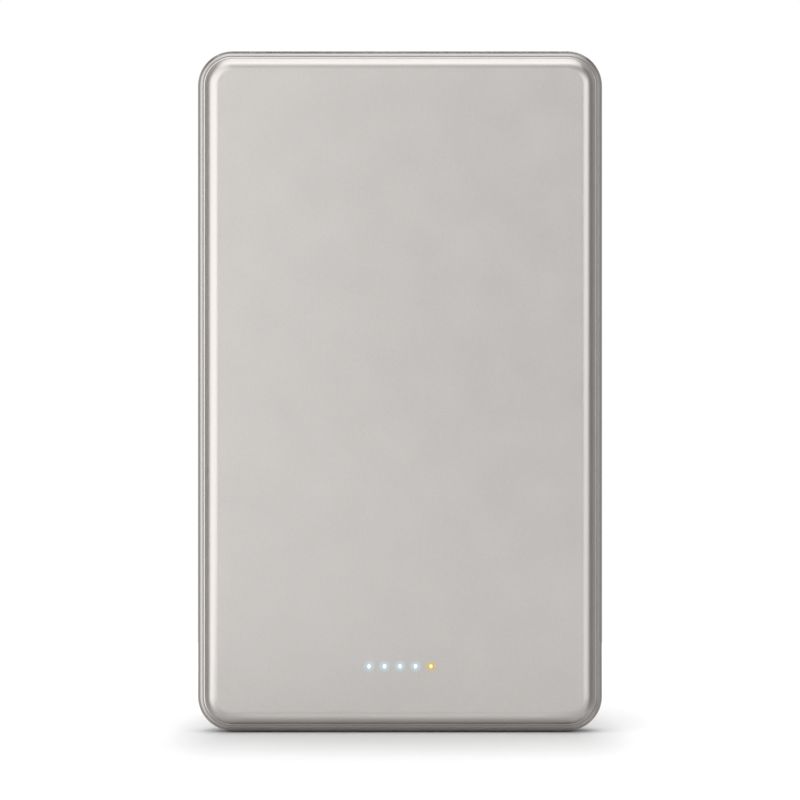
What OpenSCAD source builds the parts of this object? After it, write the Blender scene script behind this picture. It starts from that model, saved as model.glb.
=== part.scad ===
// Slim power bank: two pressed metal covers on a machined middle frame. Inside, a moulded tray
// carries a pouch cell, a socket board at the top end and a light board at the bottom end, and a
// flexible circuit along the left side joins the two boards and the button's switch.
// Every piece is drawn lying flat (X across, Y up the long side, Z towards the front cover)
// and then stood on its short end. The origin is the middle of the bottom end.

/* [Case] */
// Width of the middle frame
body_w = 65.4; // [62:0.1:80]
// Height of the middle frame
body_h = 110; // [104:0.5:150]
// Thickness over both covers
body_t = 11; // [10.8:0.1:13]
// Radius of the frame's four corners, seen from the front
corner_r = 5.6; // [4.8:0.1:8]
// Depth of the frame's rim, front to back
frame_t = 7.6; // [7.5:0.1:8.2]
// Thickness of the frame's wall
frame_wall = 2.6; // [2.4:0.1:3]
// Width of the frame's lip outside each cover
lip_w = 0.8; // [0.6:0.05:0.9]
// Rounding of the lip's outer edge
lip_r = 0.4; // [0.2:0.05:0.5]
// Depth of the step that each cover sits in
step_d = 0.6; // [0.5:0.05:0.7]
// Chamfer round the socket mouths and the button's slot
mouth_edge = 0.2; // [0.1:0.05:0.3]
// Gap between lip and cover, filled by the seal
seam_w = 0.18; // [0.12:0.01:0.25]
// Sheet thickness of the covers
cover_t = 0.8; // [0.6:0.05:0.9]
// Radius of the covers' rounded shoulder
shoulder_r = 2.35; // [2:0.05:2.7]

/* [Lights] */
// Number of lights in the row
light_count = 5; // [3:1:7]
// Distance from light to light
light_pitch = 2.5; // [2.3:0.1:3.4]
// Height of the row above the bottom end
light_y = 10.6; // [10:0.1:12]
// Diameter of each light window
light_d = 0.7; // [0.6:0.05:1.2]

/* [Sockets] */
// Distance of the USB-A socket from the middle
usb_a_x = 12; // [10.5:0.5:14]
// Distance of the USB-C socket from the middle, on the other side
usb_c_x = 12; // [11:0.5:14]
// Depth of the USB-A shell
usb_a_depth = 11.4; // [11:0.1:12]
// Depth of the USB-C shell
usb_c_depth = 7.6; // [7.2:0.1:8.5]
// Frame wall left in front of the shells
mouth_wall = 0.7; // [0.5:0.1:0.9]

/* [Button] */
// Height of the button's middle above the bottom end
button_y = 65; // [40:1:75]
// Length of the button along the side
button_l = 8; // [6:0.1:10]
// Width of the button
button_w = 2.4; // [2:0.1:3]
// How far the button stands proud of the frame
button_proud = 0.1; // [0.05:0.05:0.2]
// How far the button travels when pressed
button_travel = 0.25; // [0.2:0.05:0.3]

/* [Tray and boards] */
// Wall and floor thickness of the tray
tray_t = 0.8; // [0.7:0.05:0.9]
// Height of the tray's walls above the middle plane
wall_top = 2.6; // [2.2:0.1:2.8]
// Thickness of the circuit boards
board_t = 1; // [0.8:0.1:1.2]
// Height of the socket board
main_board_h = 12.6; // [12.4:0.1:14]
// Height of the light board
led_board_h = 10; // [9:0.1:11]
// Thickness of the foam between cell and front cover
foam_t = 0.8; // [0.6:0.1:1.4]

/* [Hidden] */
$fn = 64;
over = 1; // how far a cutting shape passes a face

// Clearances
board_fit = 0.2; // board edges to the tray's walls
cell_fit = 0.3; // cell to the walls of its bay
tray_fit = 0.1; // tray lugs to the frame
shell_fit = 0.1; // socket shells to the frame and board
button_fit = 0.08; // button to its slot, and plunger to the switch
window_fit = 1; // button's flange to the ends of the tray's window
seated = 0.02; // pieces pressed or soldered into one another

// Case, measured from the middle plane and inward from the frame's outline
face_z = body_t / 2;
inner_z = face_z - cover_t;
frame_z = frame_t / 2;
ledge_z = frame_z - step_d;
seal_t = 0.1;
seal_drop = 0.25;
rim_z = ledge_z + seal_t;
cover_in = lip_w + seam_w;
cover_w = body_w - 2 * cover_in;
cover_h = body_h - 2 * cover_in;
cover_r = corner_r - cover_in;

// Tray: its floor lies on the flat of the back cover, inside the shoulder
tape_t = 0.1;
cell_tape_t = 0.15;
tray_in = max(cover_in + shoulder_r, frame_wall + tray_fit);
tray_w = body_w - 2 * tray_in;
tray_h = body_h - 2 * tray_in;
tray_r = corner_r - tray_in;
tray_z = -inner_z + tape_t;
floor_z = tray_z + tray_t;
bay_in = tray_in + tray_t;

// Button and switch, stacked inward from the frame's left wall
flange_t = 0.5;
flange_out = 0.7; // how far the flange reaches past the button's outline
plunger_out = 0.45;
plunger_l = 2.2;
plunger_w = 1.3;
plunger_in = 0.7;
switch_t = 1.8;
switch_l = 4.6;
switch_w = 3.2;
flex_t = 0.15;
stiffener_t = 0.25;
flange_in = frame_wall + seated;
switch_in = flange_in + flange_t + plunger_out;
flex_in = switch_in + switch_t;
channel_in = flex_in + flex_t + stiffener_t;

// Boards: both lie at one level, set by the USB-C shell that rests on the socket board
usb_c_w = 8.94;
usb_c_t = 3.2;
board_z = -usb_c_t / 2;
board_bottom = board_z - board_t;
board_in = flex_in + 2.1;
board_w = body_w - 2 * board_in;
main_board_y = body_h - bay_in - board_fit - main_board_h;
led_board_y = bay_in + board_fit;
upper_wall_y = main_board_y - board_fit - tray_t;
lower_wall_y = led_board_y + led_board_h + board_fit;

// Sockets
sheet_t = 0.3;
usb_a_w = 13.1;
usb_a_t = 5.7;
usb_a_r = 0.7;
mouth_y = body_h - mouth_wall;

// Cell: it fills its bay, apart from a strip at the top for the protection board
pcm_h = 3.7;
pcm_w = 26;
pcm_t = 0.8;
pcm_y = upper_wall_y - cell_fit - pcm_h;
terrace_h = 1.2;
cell_x0 = -body_w / 2 + channel_in + tray_t + cell_fit;
cell_x1 = body_w / 2 - bay_in - cell_fit;
cell_y0 = lower_wall_y + tray_t + cell_fit;
cell_y1 = pcm_y - cell_fit - terrace_h;
cell_z0 = floor_z + cell_tape_t;
cell_z1 = inner_z - foam_t;
cell_mid = (cell_x0 + cell_x1) / 2;
pad_margin = 5; // foam and tape stop this far inside the cell's edges
pouch_r = 1.5;
tab_x = 8;
tab_w = 4;
tab_over = 2; // how far the tabs lie over the protection board

// Lights
guide_gap = 0.1;
bar_t = 0.8;
led_t = 0.6;
shield_bore = 1.9;
shield_wall = 0.7;
shield_w = shield_bore + 2 * shield_wall;
shield_z = inner_z - guide_gap - bar_t;
row_half = (light_count - 1) / 2 * light_pitch;
led_w = 0.8;
led_l = 1.6;
post_gap = 0.2;

// Screws
screw_d = 1.4;
head_d = 2.6;
head_t = 0.7;
screw_l = 2.2;
slot_l = 1.5;
slot_w = 0.35;
boss_d = 3.4;
screw_edge = 2.3; // screw centre to the edge of its board
main_screw_x = board_w / 2 - screw_edge;
main_screw_y = main_board_y + screw_edge;
led_screw_x = row_half + shield_w / 2 + screw_edge;
led_screw_y = led_board_y + screw_edge;
led_board_x1 = led_screw_x + screw_edge;
screws = [
    [-main_screw_x, main_screw_y], [main_screw_x, main_screw_y],
    [-led_screw_x, led_screw_y], [led_screw_x, led_screw_y],
];

// Battery leads, which stand on the protection board and cross the upper wall to the socket board
lead_d = 0.9;
lead_r = 0.8;
lead_gap = 1.5;
lead_z = 1.2;
lead_in = 1; // lead's centre to the edge of each board
lead_y0 = pcm_y + pcm_h - lead_in;
lead_y1 = main_board_y + lead_in;

// Pieces on the socket board
inductor_t = 2.9;
inductor_r = 1;
chip_w = 3.6;
chip_t = 0.9;
part_gap = 0.7; // between pieces on the board
cap_l = 1.6;
cap_w = 0.8;
cap_pitch = 3;
cap_count = 4;
ear = 1.2; // width of the USB-A shell's ears
ear_l = 1.5;
inductor_w = 6.6;
inductor_x = (usb_a_x - usb_a_w / 2 - ear - usb_c_x + usb_c_w / 2) / 2;
inductor_y = main_board_y + main_board_h - inductor_w / 2 - part_gap;

// Socket tongues and contacts
a_tongue_t = 1.84;
a_tongue_w = 11.1;
a_tongue_set = 1.5; // the tongue stops this far behind the shell's mouth
a_base = 2.4;
a_contact_x = [1, 3.5];
a_contact_w = 1;
a_contact_t = 0.2;
a_contact_set = 0.8;
c_tongue_t = 0.7;
c_tongue_w = 6.7;
c_tongue_set = 0.9;
c_base = 1.8;
c_pads = 12;
c_pad_pitch = 0.5;
c_pad_w = 0.25;
c_pad_l = 3;
c_pad_t = 0.08;
c_pad_set = 0.4;

// Side flex: a strip that stands along the left wall, with a tail on each board
tail_w = 3;
bend_r = 0.35;
strip_z0 = board_z + flex_t + bend_r;
strip_z1 = 1.3;
flex_pad = 1.2; // how far the flex reaches past the switch
connector_l = 2.4;
connector_t = 1;
connector_side = 0.6;
connector_x = -board_w / 2 + connector_side;
lower_tail_y = led_board_y + (led_board_h - tail_w) / 2;
upper_tail_y = main_screw_y + head_d / 2 + connector_side + part_gap;

// Lugs on the tray
lug_w = 3;

// ---- Shared shapes ----

// Stands a piece that was drawn lying flat on its short end
module stood() {
    rotate([90, 0, 0]) children();
}

module rounded_rect(w, h, r) {
    square([w - 2 * r, h], center = true);
    square([w, h - 2 * r], center = true);
    for (x = [-1, 1], y = [-1, 1])
        translate([x * (w / 2 - r), y * (h / 2 - r)]) circle(r);
}

module stadium(l, w) {
    square([l - w, w], center = true);
    for (x = [-1, 1]) translate([x * (l - w) / 2, 0]) circle(d = w);
}

// A rounded plate about the middle of the case, from height z up
module plate(w, h, r, z, t) {
    translate([0, body_h / 2, z]) linear_extrude(t) rounded_rect(w, h, r);
}

// Runs an edge profile once round a rounded rectangle about the middle of the case.
// The profile's x is 0 on the outline and negative inward, and its y is the height.
module around(w, h, r) {
    translate([0, body_h / 2, 0])
        for (turn = [0:3]) {
            reach = (turn % 2 == 0 ? w : h) / 2;
            run = (turn % 2 == 0 ? h : w) / 2 - r;
            rotate([0, 0, 90 * turn]) {
                translate([reach, 0, 0]) rotate([90, 0, 0])
                    linear_extrude(2 * run, center = true) children();
                translate([reach - r, run, 0]) rotate_extrude(angle = 90) translate([r, 0]) children();
            }
        }
}

// A block given by its lowest and highest corners
module block(low, high) {
    translate(low) cube(high - low);
}

// Cuts a chamfer at the mouth of a rounded hole: it starts one edge's width below the face
module flare(w, h, r, edge) {
    rows = h > 2 * r ? [-1, 1] : [0];
    for (x = [-1, 1], y = rows)
        translate([x * (w / 2 - r), y * (h / 2 - r), 0]) cylinder(r1 = r, r2 = r + 2 * edge, h = 2 * edge);
    rotate([0, 0, 90]) flare_block(h, w - 2 * r, edge);
    if (h > 2 * r) flare_block(w, h - 2 * r, edge);
}

module flare_block(w, length, edge) {
    rotate([90, 0, 0]) linear_extrude(length, center = true)
        polygon([[-w / 2, 0], [w / 2, 0], [w / 2 + 2 * edge, 2 * edge], [-w / 2 - 2 * edge, 2 * edge]]);
}

// Extrudes an outline down the long side, from height y
module down_from(x, y, length) {
    translate([x, y, 0]) rotate([90, 0, 0]) linear_extrude(length) children();
}

// Extrudes an outline inward from the left side, starting at a distance in from the frame's outline
module inward_from(distance, length) {
    translate([-body_w / 2 + distance, button_y, 0]) rotate([90, 0, 90])
        linear_extrude(length) children();
}

// A point a given distance in from the left side
function left(distance) = -body_w / 2 + distance;

function light_x(i) = (i - (light_count - 1) / 2) * light_pitch;

function lead_x(i) = (2 * i - 1) * (lead_d + lead_gap) / 2;

// ---- Case ----

module frame_profile() {
    difference() {
        union() {
            translate([-frame_wall, -frame_z]) square([frame_wall - lip_r, frame_t]);
            translate([-frame_wall, lip_r - frame_z]) square([frame_wall, frame_t - 2 * lip_r]);
            for (side = [-1, 1]) translate([-lip_r, side * (frame_z - lip_r)]) circle(lip_r);
        }
        for (side = [-1, 1])
            translate([-frame_wall - over, side * (ledge_z + over) - over])
                square([frame_wall + over - lip_w, 2 * over]);
    }
}

module mid_frame() {
    slot_len = button_l + 2 * button_fit;
    slot_h = button_w + 2 * button_fit;
    color("silver") stood() difference() {
        around(body_w, body_h, corner_r) frame_profile();
        // mouths that a plug passes, and the pockets that the shells sit in
        down_from(usb_a_x, body_h + over, frame_wall + 2 * over)
            rounded_rect(usb_a_w - sheet_t, usb_a_t - sheet_t, usb_a_r / 2);
        down_from(usb_a_x, mouth_y, frame_wall + over)
            rounded_rect(usb_a_w + 2 * shell_fit, usb_a_t + 2 * shell_fit, usb_a_r + shell_fit);
        down_from(-usb_c_x, body_h + over, frame_wall + 2 * over)
            stadium(usb_c_w - sheet_t, usb_c_t - sheet_t);
        down_from(-usb_c_x, mouth_y, frame_wall + over)
            stadium(usb_c_w + 2 * shell_fit, usb_c_t + 2 * shell_fit);
        inward_from(-over, frame_wall + 2 * over) stadium(slot_len, slot_h);
        // chamfers at the three mouths
        translate([usb_a_x, body_h - mouth_edge, 0]) rotate([-90, 0, 0])
            flare(usb_a_w - sheet_t, usb_a_t - sheet_t, usb_a_r / 2, mouth_edge);
        translate([-usb_c_x, body_h - mouth_edge, 0]) rotate([-90, 0, 0])
            flare(usb_c_w - sheet_t, usb_c_t - sheet_t, (usb_c_t - sheet_t) / 2, mouth_edge);
        translate([left(mouth_edge / 2), button_y, 0]) rotate([90, 0, -90])
            flare(slot_len, slot_h, slot_h / 2, mouth_edge / 2);
    }
}

// Half of a cover's shoulder in section: the area under the curve, drawn smaller for its inside
module shoulder_area(inside) {
    r = shoulder_r - inside;
    translate([-shoulder_r, face_z - shoulder_r]) circle(r);
    translate([-shoulder_r, 0]) square([r, face_z - shoulder_r]);
}

module cover() {
    around(cover_w, cover_h, cover_r) intersection() {
        translate([-shoulder_r, rim_z]) square([shoulder_r, face_z - rim_z]);
        difference() {
            shoulder_area(0);
            shoulder_area(cover_t);
        }
    }
    plate(cover_w - 2 * shoulder_r, cover_h - 2 * shoulder_r, cover_r - shoulder_r, inner_z, cover_t);
}

module front_cover() {
    color("tan") stood() difference() {
        cover();
        for (i = [0:light_count - 1])
            translate([light_x(i), light_y, inner_z - over]) cylinder(d = light_d, h = cover_t + 2 * over);
    }
}

module back_cover() {
    color("tan") stood() mirror([0, 0, 1]) cover();
}

// A black ring in the step: it closes the seam outside the cover and cushions the cover's rim
module seal() {
    around(body_w, body_h, corner_r) {
        translate([-cover_in - cover_t, ledge_z]) square([seam_w + cover_t, seal_t]);
        translate([-cover_in, ledge_z]) square([seam_w, step_d - seal_drop]);
    }
}

module front_seal() {
    color("black") stood() seal();
}

module back_seal() {
    color("black") stood() mirror([0, 0, 1]) seal();
}

// ---- Tray ----

// Lugs that centre the tray in the frame: each is a position on a wall and the way it points
module tray_lugs() {
    reach = tray_in - frame_wall - tray_fit;
    for (side = [-1, 1]) {
        for (y = [body_h * 0.25, body_h * 0.8])
            translate([side * (tray_w / 2 + reach / 2 - over / 2), y, 0])
                cube([reach + over, lug_w, lug_w], center = true);
        for (x = [-tray_w * 0.4, tray_w * 0.4])
            translate([x, body_h / 2 + side * (tray_h / 2 + reach / 2 - over / 2), 0])
                cube([lug_w, reach + over, lug_w], center = true);
    }
}

module tray_shell() {
    difference() {
        plate(tray_w, tray_h, tray_r, tray_z, wall_top - tray_z);
        plate(tray_w - 2 * tray_t, tray_h - 2 * tray_t, tray_r - tray_t, floor_z, body_t);
    }
}

// Walls round the cell's bay, and the shelf that the protection board lies on
module tray_dividers() {
    divider = left(channel_in);
    right_wall = body_w / 2 - bay_in + seated;
    for (y = [lower_wall_y, upper_wall_y])
        block([divider, y, floor_z - seated], [right_wall, y + tray_t, wall_top]);
    block([divider, lower_wall_y, floor_z - seated], [divider + tray_t, upper_wall_y + tray_t, wall_top]);
    block([-pcm_w / 2, pcm_y, floor_z - seated], [pcm_w / 2, upper_wall_y + seated, -pcm_t]);
}

module inner_tray() {
    window = button_l + 2 * (flange_out + window_fit);
    color("dimgray") stood() difference() {
        union() {
            tray_shell();
            tray_dividers();
            tray_lugs();
            for (at = screws)
                translate([at.x, at.y, floor_z]) cylinder(d = boss_d, h = board_bottom - floor_z);
        }
        for (at = screws)
            translate([at.x, at.y, tray_z - over]) cylinder(d = screw_d + 2 * seated, h = 2 * over + frame_t);
        // windows for the two sockets, the switch and the battery leads
        block([usb_a_x - usb_a_w / 2 - cell_fit, body_h - bay_in - over, -usb_a_t / 2 - cell_fit],
              [usb_a_x + usb_a_w / 2 + cell_fit, body_h, wall_top + over]);
        block([-usb_c_x - usb_c_w / 2 - cell_fit, body_h - bay_in - over, board_z - cell_fit],
              [-usb_c_x + usb_c_w / 2 + cell_fit, body_h, wall_top + over]);
        block([left(0), button_y - window / 2, -switch_w / 2 - 2 * cell_fit],
              [left(bay_in + seated), button_y + window / 2, wall_top + over]);
        block([lead_x(0) - lead_d, upper_wall_y - over, -pcm_t],
              [lead_x(1) + lead_d, upper_wall_y + tray_t + over, wall_top + over]);
    }
}

module tray_tape() {
    color("white") stood()
        plate(tray_w - 4 * tray_t, tray_h - 4 * tray_t, tray_r / 2, -inner_z, tape_t);
}

// ---- Cell ----

module battery_cell() {
    color("lightgray") stood() {
        translate([0, 0, (cell_z0 + cell_z1) / 2]) down_from(cell_mid, cell_y1, cell_y1 - cell_y0)
            rounded_rect(cell_x1 - cell_x0, cell_z1 - cell_z0, pouch_r);
        block([cell_x0 + 2 * pouch_r, cell_y1, -flex_t],
              [cell_x1 - 2 * pouch_r, cell_y1 + terrace_h, 2 * flex_t]);
    }
}

// A sheet on the cell's flat side, between two heights
module cell_sheet(z0, z1) {
    block([cell_x0 + pad_margin, cell_y0 + pad_margin, z0], [cell_x1 - pad_margin, cell_y1 - pad_margin, z1]);
}

module cell_foam() {
    color("gray") stood() cell_sheet(cell_z1, inner_z);
}

module cell_tape() {
    color("white") stood() cell_sheet(floor_z, cell_z0);
}

module cell_tabs() {
    color("gainsboro") stood() for (side = [-1, 1])
        translate([side * tab_x - tab_w / 2, cell_y1 + terrace_h, 0])
            cube([tab_w, cell_fit + tab_over, flex_t]);
}

module protection_board() {
    color("darkgreen") stood() block([-pcm_w / 2, pcm_y, -pcm_t], [pcm_w / 2, pcm_y + pcm_h, 0]);
}

module lead(i) {
    stood() translate([lead_x(i), 0, 0]) {
        translate([0, lead_y0, 0]) cylinder(d = lead_d, h = lead_z - lead_r);
        translate([0, lead_y1, board_z]) cylinder(d = lead_d, h = lead_z - lead_r - board_z);
        translate([0, lead_y1 - lead_r, lead_z]) rotate([90, 0, 0])
            cylinder(d = lead_d, h = lead_y1 - lead_y0 - 2 * lead_r);
        translate([0, lead_y0 + lead_r, lead_z - lead_r]) rotate([0, -90, 0]) rotate([0, 0, -90])
            rotate_extrude(angle = 90) translate([lead_r, 0]) circle(d = lead_d);
        translate([0, lead_y1 - lead_r, lead_z - lead_r]) rotate([0, -90, 0])
            rotate_extrude(angle = 90) translate([lead_r, 0]) circle(d = lead_d);
    }
}

module positive_lead() {
    color("red") lead(1);
}

module negative_lead() {
    color("black") lead(0);
}

// ---- Socket board ----

module main_board() {
    notch = usb_a_w / 2 + shell_fit;
    color("darkgreen") stood() difference() {
        block([-board_w / 2, main_board_y, board_bottom],
              [board_w / 2, main_board_y + main_board_h, board_z]);
        block([usb_a_x - notch, mouth_y - usb_a_depth - shell_fit, board_bottom - over],
              [usb_a_x + notch, body_h, board_z + over]);
        for (i = [0, 1])
            translate([screws[i].x, screws[i].y, board_bottom - over])
                cylinder(d = screw_d + 2 * shell_fit, h = board_t + 2 * over);
    }
}

module power_inductor() {
    color("darkgray") stood() translate([inductor_x, inductor_y, board_z])
        linear_extrude(inductor_t) rounded_rect(inductor_w, inductor_w, inductor_r);
}

module power_chips() {
    charge_chip = [-usb_c_x, main_board_y + chip_w / 2 + part_gap];
    output_chip = [usb_a_x + usb_a_w / 2 + ear + part_gap + chip_w / 2, inductor_y];
    color("black") stood() for (at = [charge_chip, output_chip])
        translate([at.x, at.y, board_z + chip_t / 2]) cube([chip_w, chip_w, chip_t], center = true);
}

module output_capacitors() {
    color("peru") stood() translate([usb_a_x, main_board_y + cap_l, board_z + cap_w / 2])
        for (i = [0:cap_count - 1])
            translate([(i - (cap_count - 1) / 2) * cap_pitch, 0, 0])
                cube([cap_l, cap_w, cap_w], center = true);
}

module thermal_pad() {
    pad = inductor_w / 2 - inductor_r / 2;
    color("lightblue") stood()
        block([inductor_x - pad, inductor_y - pad, board_z + inductor_t],
              [inductor_x + pad, inductor_y + pad, inner_z]);
}

module board_screws() {
    color("dimgray") stood() for (at = screws) translate([at.x, at.y, board_z]) {
        difference() {
            cylinder(d = head_d, h = head_t);
            for (turn = [0, 90]) translate([0, 0, head_t]) rotate([0, 0, turn])
                cube([slot_l, slot_w, head_t], center = true);
        }
        translate([0, 0, -screw_l]) cylinder(d = screw_d, h = screw_l);
    }
}

// ---- Sockets ----

module usb_a_shell() {
    color("silver") stood() {
        down_from(usb_a_x, mouth_y, usb_a_depth) difference() {
            rounded_rect(usb_a_w, usb_a_t, usb_a_r);
            rounded_rect(usb_a_w - 2 * sheet_t, usb_a_t - 2 * sheet_t, usb_a_r - sheet_t);
        }
        // ears that rest on the board each side of its notch
        for (side = [-1, 1], down = [usb_a_depth * 0.45, usb_a_depth * 0.85])
            translate([usb_a_x, mouth_y - down, board_z + sheet_t / 2])
                translate([side * (usb_a_w / 2 + ear / 2 - sheet_t / 4), 0, 0])
                    cube([ear + sheet_t / 2, ear_l, sheet_t], center = true);
    }
}

module usb_a_tongue() {
    inset = 2 * sheet_t + 2 * seated;
    color("black") stood() {
        down_from(usb_a_x, mouth_y - usb_a_depth + a_base, a_base)
            rounded_rect(usb_a_w - inset, usb_a_t - inset, usb_a_r - sheet_t);
        block([usb_a_x - a_tongue_w / 2, mouth_y - usb_a_depth + a_base, 0],
              [usb_a_x + a_tongue_w / 2, mouth_y - a_tongue_set, a_tongue_t]);
    }
}

module usb_a_contacts() {
    color("gold") stood() for (side = [-1, 1], x = a_contact_x) {
        middle = usb_a_x + side * x;
        block([middle - a_contact_w / 2, mouth_y - usb_a_depth + a_base, -a_contact_t],
              [middle + a_contact_w / 2, mouth_y - a_tongue_set - a_contact_set, 0]);
    }
}

module usb_c_shell() {
    color("silver") stood() down_from(-usb_c_x, mouth_y, usb_c_depth) difference() {
        stadium(usb_c_w, usb_c_t);
        stadium(usb_c_w - 2 * sheet_t, usb_c_t - 2 * sheet_t);
    }
}

module usb_c_tongue() {
    inset = 2 * sheet_t + 2 * seated;
    color("black") stood() {
        down_from(-usb_c_x, mouth_y - usb_c_depth + c_base, c_base) stadium(usb_c_w - inset, usb_c_t - inset);
        block([-usb_c_x - c_tongue_w / 2, mouth_y - usb_c_depth + c_base, -c_tongue_t / 2],
              [-usb_c_x + c_tongue_w / 2, mouth_y - c_tongue_set, c_tongue_t / 2]);
    }
}

module usb_c_contacts() {
    color("gold") stood() for (i = [0:c_pads - 1], face = [-1, 1])
        translate([-usb_c_x + (i - (c_pads - 1) / 2) * c_pad_pitch,
                   mouth_y - c_tongue_set - c_pad_set - c_pad_l / 2,
                   face * (c_tongue_t + c_pad_t) / 2])
            cube([c_pad_w, c_pad_l, c_pad_t], center = true);
}

// ---- Light board ----

module led_board() {
    color("darkgreen") stood() difference() {
        block([-board_w / 2, led_board_y, board_bottom], [led_board_x1, led_board_y + led_board_h, board_z]);
        for (i = [2, 3])
            translate([screws[i].x, screws[i].y, board_bottom - over])
                cylinder(d = screw_d + 2 * shell_fit, h = board_t + 2 * over);
    }
}

module led(i) {
    stood() translate([light_x(i), light_y, board_z + led_t / 2]) cube([led_w, led_l, led_t], center = true);
}

module white_leds() {
    color("white") for (i = [0:light_count - 2]) led(i);
}

module amber_led() {
    color("orange") led(light_count - 1);
}

// A black block with one round well for each light
module light_shield() {
    color("black") stood() difference() {
        block([-row_half - shield_w / 2, light_y - shield_w / 2, board_z],
              [row_half + shield_w / 2, light_y + shield_w / 2, shield_z]);
        for (i = [0:light_count - 1])
            translate([light_x(i), light_y, board_z - over]) cylinder(d = shield_bore, h = body_t);
    }
}

// One clear moulding: a bar on the shield, a post down each well and a pin through each window
module light_guide() {
    color("white") stood() {
        block([-row_half - shield_w / 2, light_y - shield_bore / 2, shield_z],
              [row_half + shield_w / 2, light_y + shield_bore / 2, shield_z + bar_t]);
        for (i = [0:light_count - 1]) translate([light_x(i), light_y, 0]) {
            translate([0, 0, board_z + led_t + guide_gap])
                cylinder(d = shield_bore - 2 * post_gap, h = shield_z - board_z - led_t - guide_gap);
            cylinder(d = light_d - 3 * seated, h = face_z - seated);
        }
    }
}

// ---- Side flex and switch ----

module flex_tail(y) {
    bend_x = left(flex_in) + flex_t + bend_r;
    translate([bend_x, y + tail_w, strip_z0]) rotate([90, 0, 0]) rotate([0, 0, 180])
        quarter_bend();
    block([bend_x, y, board_z], [connector_x + connector_l / 2, y + tail_w, board_z + flex_t]);
}

// The quarter bend that turns the standing strip onto a board
module quarter_bend() {
    linear_extrude(tail_w) intersection() {
        difference() {
            circle(bend_r + flex_t);
            circle(bend_r);
        }
        square(bend_r + flex_t);
    }
}

module side_flex() {
    color("orange") stood() {
        block([left(flex_in), lower_tail_y, strip_z0],
              [left(flex_in) + flex_t, upper_tail_y + tail_w, strip_z1]);
        block([left(flex_in), button_y - switch_l / 2 - flex_pad, -switch_w / 2],
              [left(flex_in) + flex_t, button_y + switch_l / 2 + flex_pad, switch_w / 2]);
        for (y = [lower_tail_y, upper_tail_y]) flex_tail(y);
    }
}

module flex_connectors() {
    color("ivory") stood() for (y = [lower_tail_y, upper_tail_y]) difference() {
        block([connector_x, y - connector_side, board_z],
              [connector_x + connector_l, y + tail_w + connector_side, board_z + connector_t]);
        block([connector_x - over, y - seated, board_z - over],
              [connector_x + connector_l / 2, y + tail_w + seated, board_z + flex_t]);
    }
}

module switch_stiffener() {
    color("silver") stood()
        block([left(flex_in) + flex_t, button_y - switch_l / 2 - flex_pad, -switch_w / 2],
              [left(channel_in), button_y + switch_l / 2 + flex_pad, switch_w / 2]);
}

module switch_body() {
    well = plunger_in + button_travel + button_fit;
    color("black") stood() difference() {
        inward_from(switch_in, switch_t) square([switch_l, switch_w], center = true);
        inward_from(switch_in - over, well + over)
            square([plunger_l + 2 * button_fit, plunger_w + 2 * button_fit], center = true);
    }
}

module switch_plunger() {
    color("ivory") stood() inward_from(switch_in - plunger_out, plunger_out + plunger_in)
        square([plunger_l, plunger_w], center = true);
}

module power_button() {
    color("silver") stood() {
        inward_from(-button_proud, button_proud + flange_in) stadium(button_l, button_w);
        inward_from(flange_in, flange_t) stadium(button_l + 2 * flange_out, button_w + 2 * flange_out);
    }
}

mid_frame();
front_cover();
back_cover();
front_seal();
back_seal();
inner_tray();
tray_tape();
battery_cell();
cell_foam();
cell_tape();
cell_tabs();
protection_board();
positive_lead();
negative_lead();
main_board();
power_inductor();
power_chips();
output_capacitors();
thermal_pad();
board_screws();
usb_a_shell();
usb_a_tongue();
usb_a_contacts();
usb_c_shell();
usb_c_tongue();
usb_c_contacts();
led_board();
white_leds();
amber_led();
light_shield();
light_guide();
side_flex();
flex_connectors();
switch_stiffener();
switch_body();
switch_plunger();
power_button();
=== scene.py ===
"""Slim power bank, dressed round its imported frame.

Pieces are drawn lying flat: X across, Y up the long side from the bottom end, Z towards the
front cover. make_piece then stands each one on the bottom end, so that its front faces -Y.
"""
from math import radians

import bmesh
import bpy
from mathutils import Matrix, Vector


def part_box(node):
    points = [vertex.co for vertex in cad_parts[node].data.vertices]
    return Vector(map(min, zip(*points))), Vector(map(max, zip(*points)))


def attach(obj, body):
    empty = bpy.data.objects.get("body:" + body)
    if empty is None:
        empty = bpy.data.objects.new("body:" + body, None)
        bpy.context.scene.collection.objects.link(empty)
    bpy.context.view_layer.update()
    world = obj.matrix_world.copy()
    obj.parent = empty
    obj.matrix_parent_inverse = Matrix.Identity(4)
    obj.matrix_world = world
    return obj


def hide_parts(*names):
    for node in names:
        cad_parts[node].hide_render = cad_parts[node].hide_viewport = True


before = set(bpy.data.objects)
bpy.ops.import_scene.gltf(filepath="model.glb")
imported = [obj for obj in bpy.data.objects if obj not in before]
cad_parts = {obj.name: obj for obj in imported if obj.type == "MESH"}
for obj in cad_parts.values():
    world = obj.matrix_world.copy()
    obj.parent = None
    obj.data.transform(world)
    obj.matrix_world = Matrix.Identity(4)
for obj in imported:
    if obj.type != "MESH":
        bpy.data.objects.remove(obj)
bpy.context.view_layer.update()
mm = 0.001


# ---- Middle frame ----
# A band of extruded aluminium, milled to its shape: a step in each edge takes a cover, two mouths
# in the top end take the sockets and a slot in the left side takes the button. It is bead blasted
# all over and anodised clear, which leaves a warm silver with a fine even grain. Its colour is drawn
# a shade darker than the covers', as painted shade on its lips.

def linear(hex_colour):
    """An sRGB colour such as "#c8c4c0" as the linear red, green, blue and alpha that shaders take."""
    shares = [int(hex_colour[i:i + 2], 16) / 255 for i in (1, 3, 5)]
    return [s / 12.92 if s <= 0.04045 else ((s + 0.055) / 1.055) ** 2.4 for s in shares] + [1.0]


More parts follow.
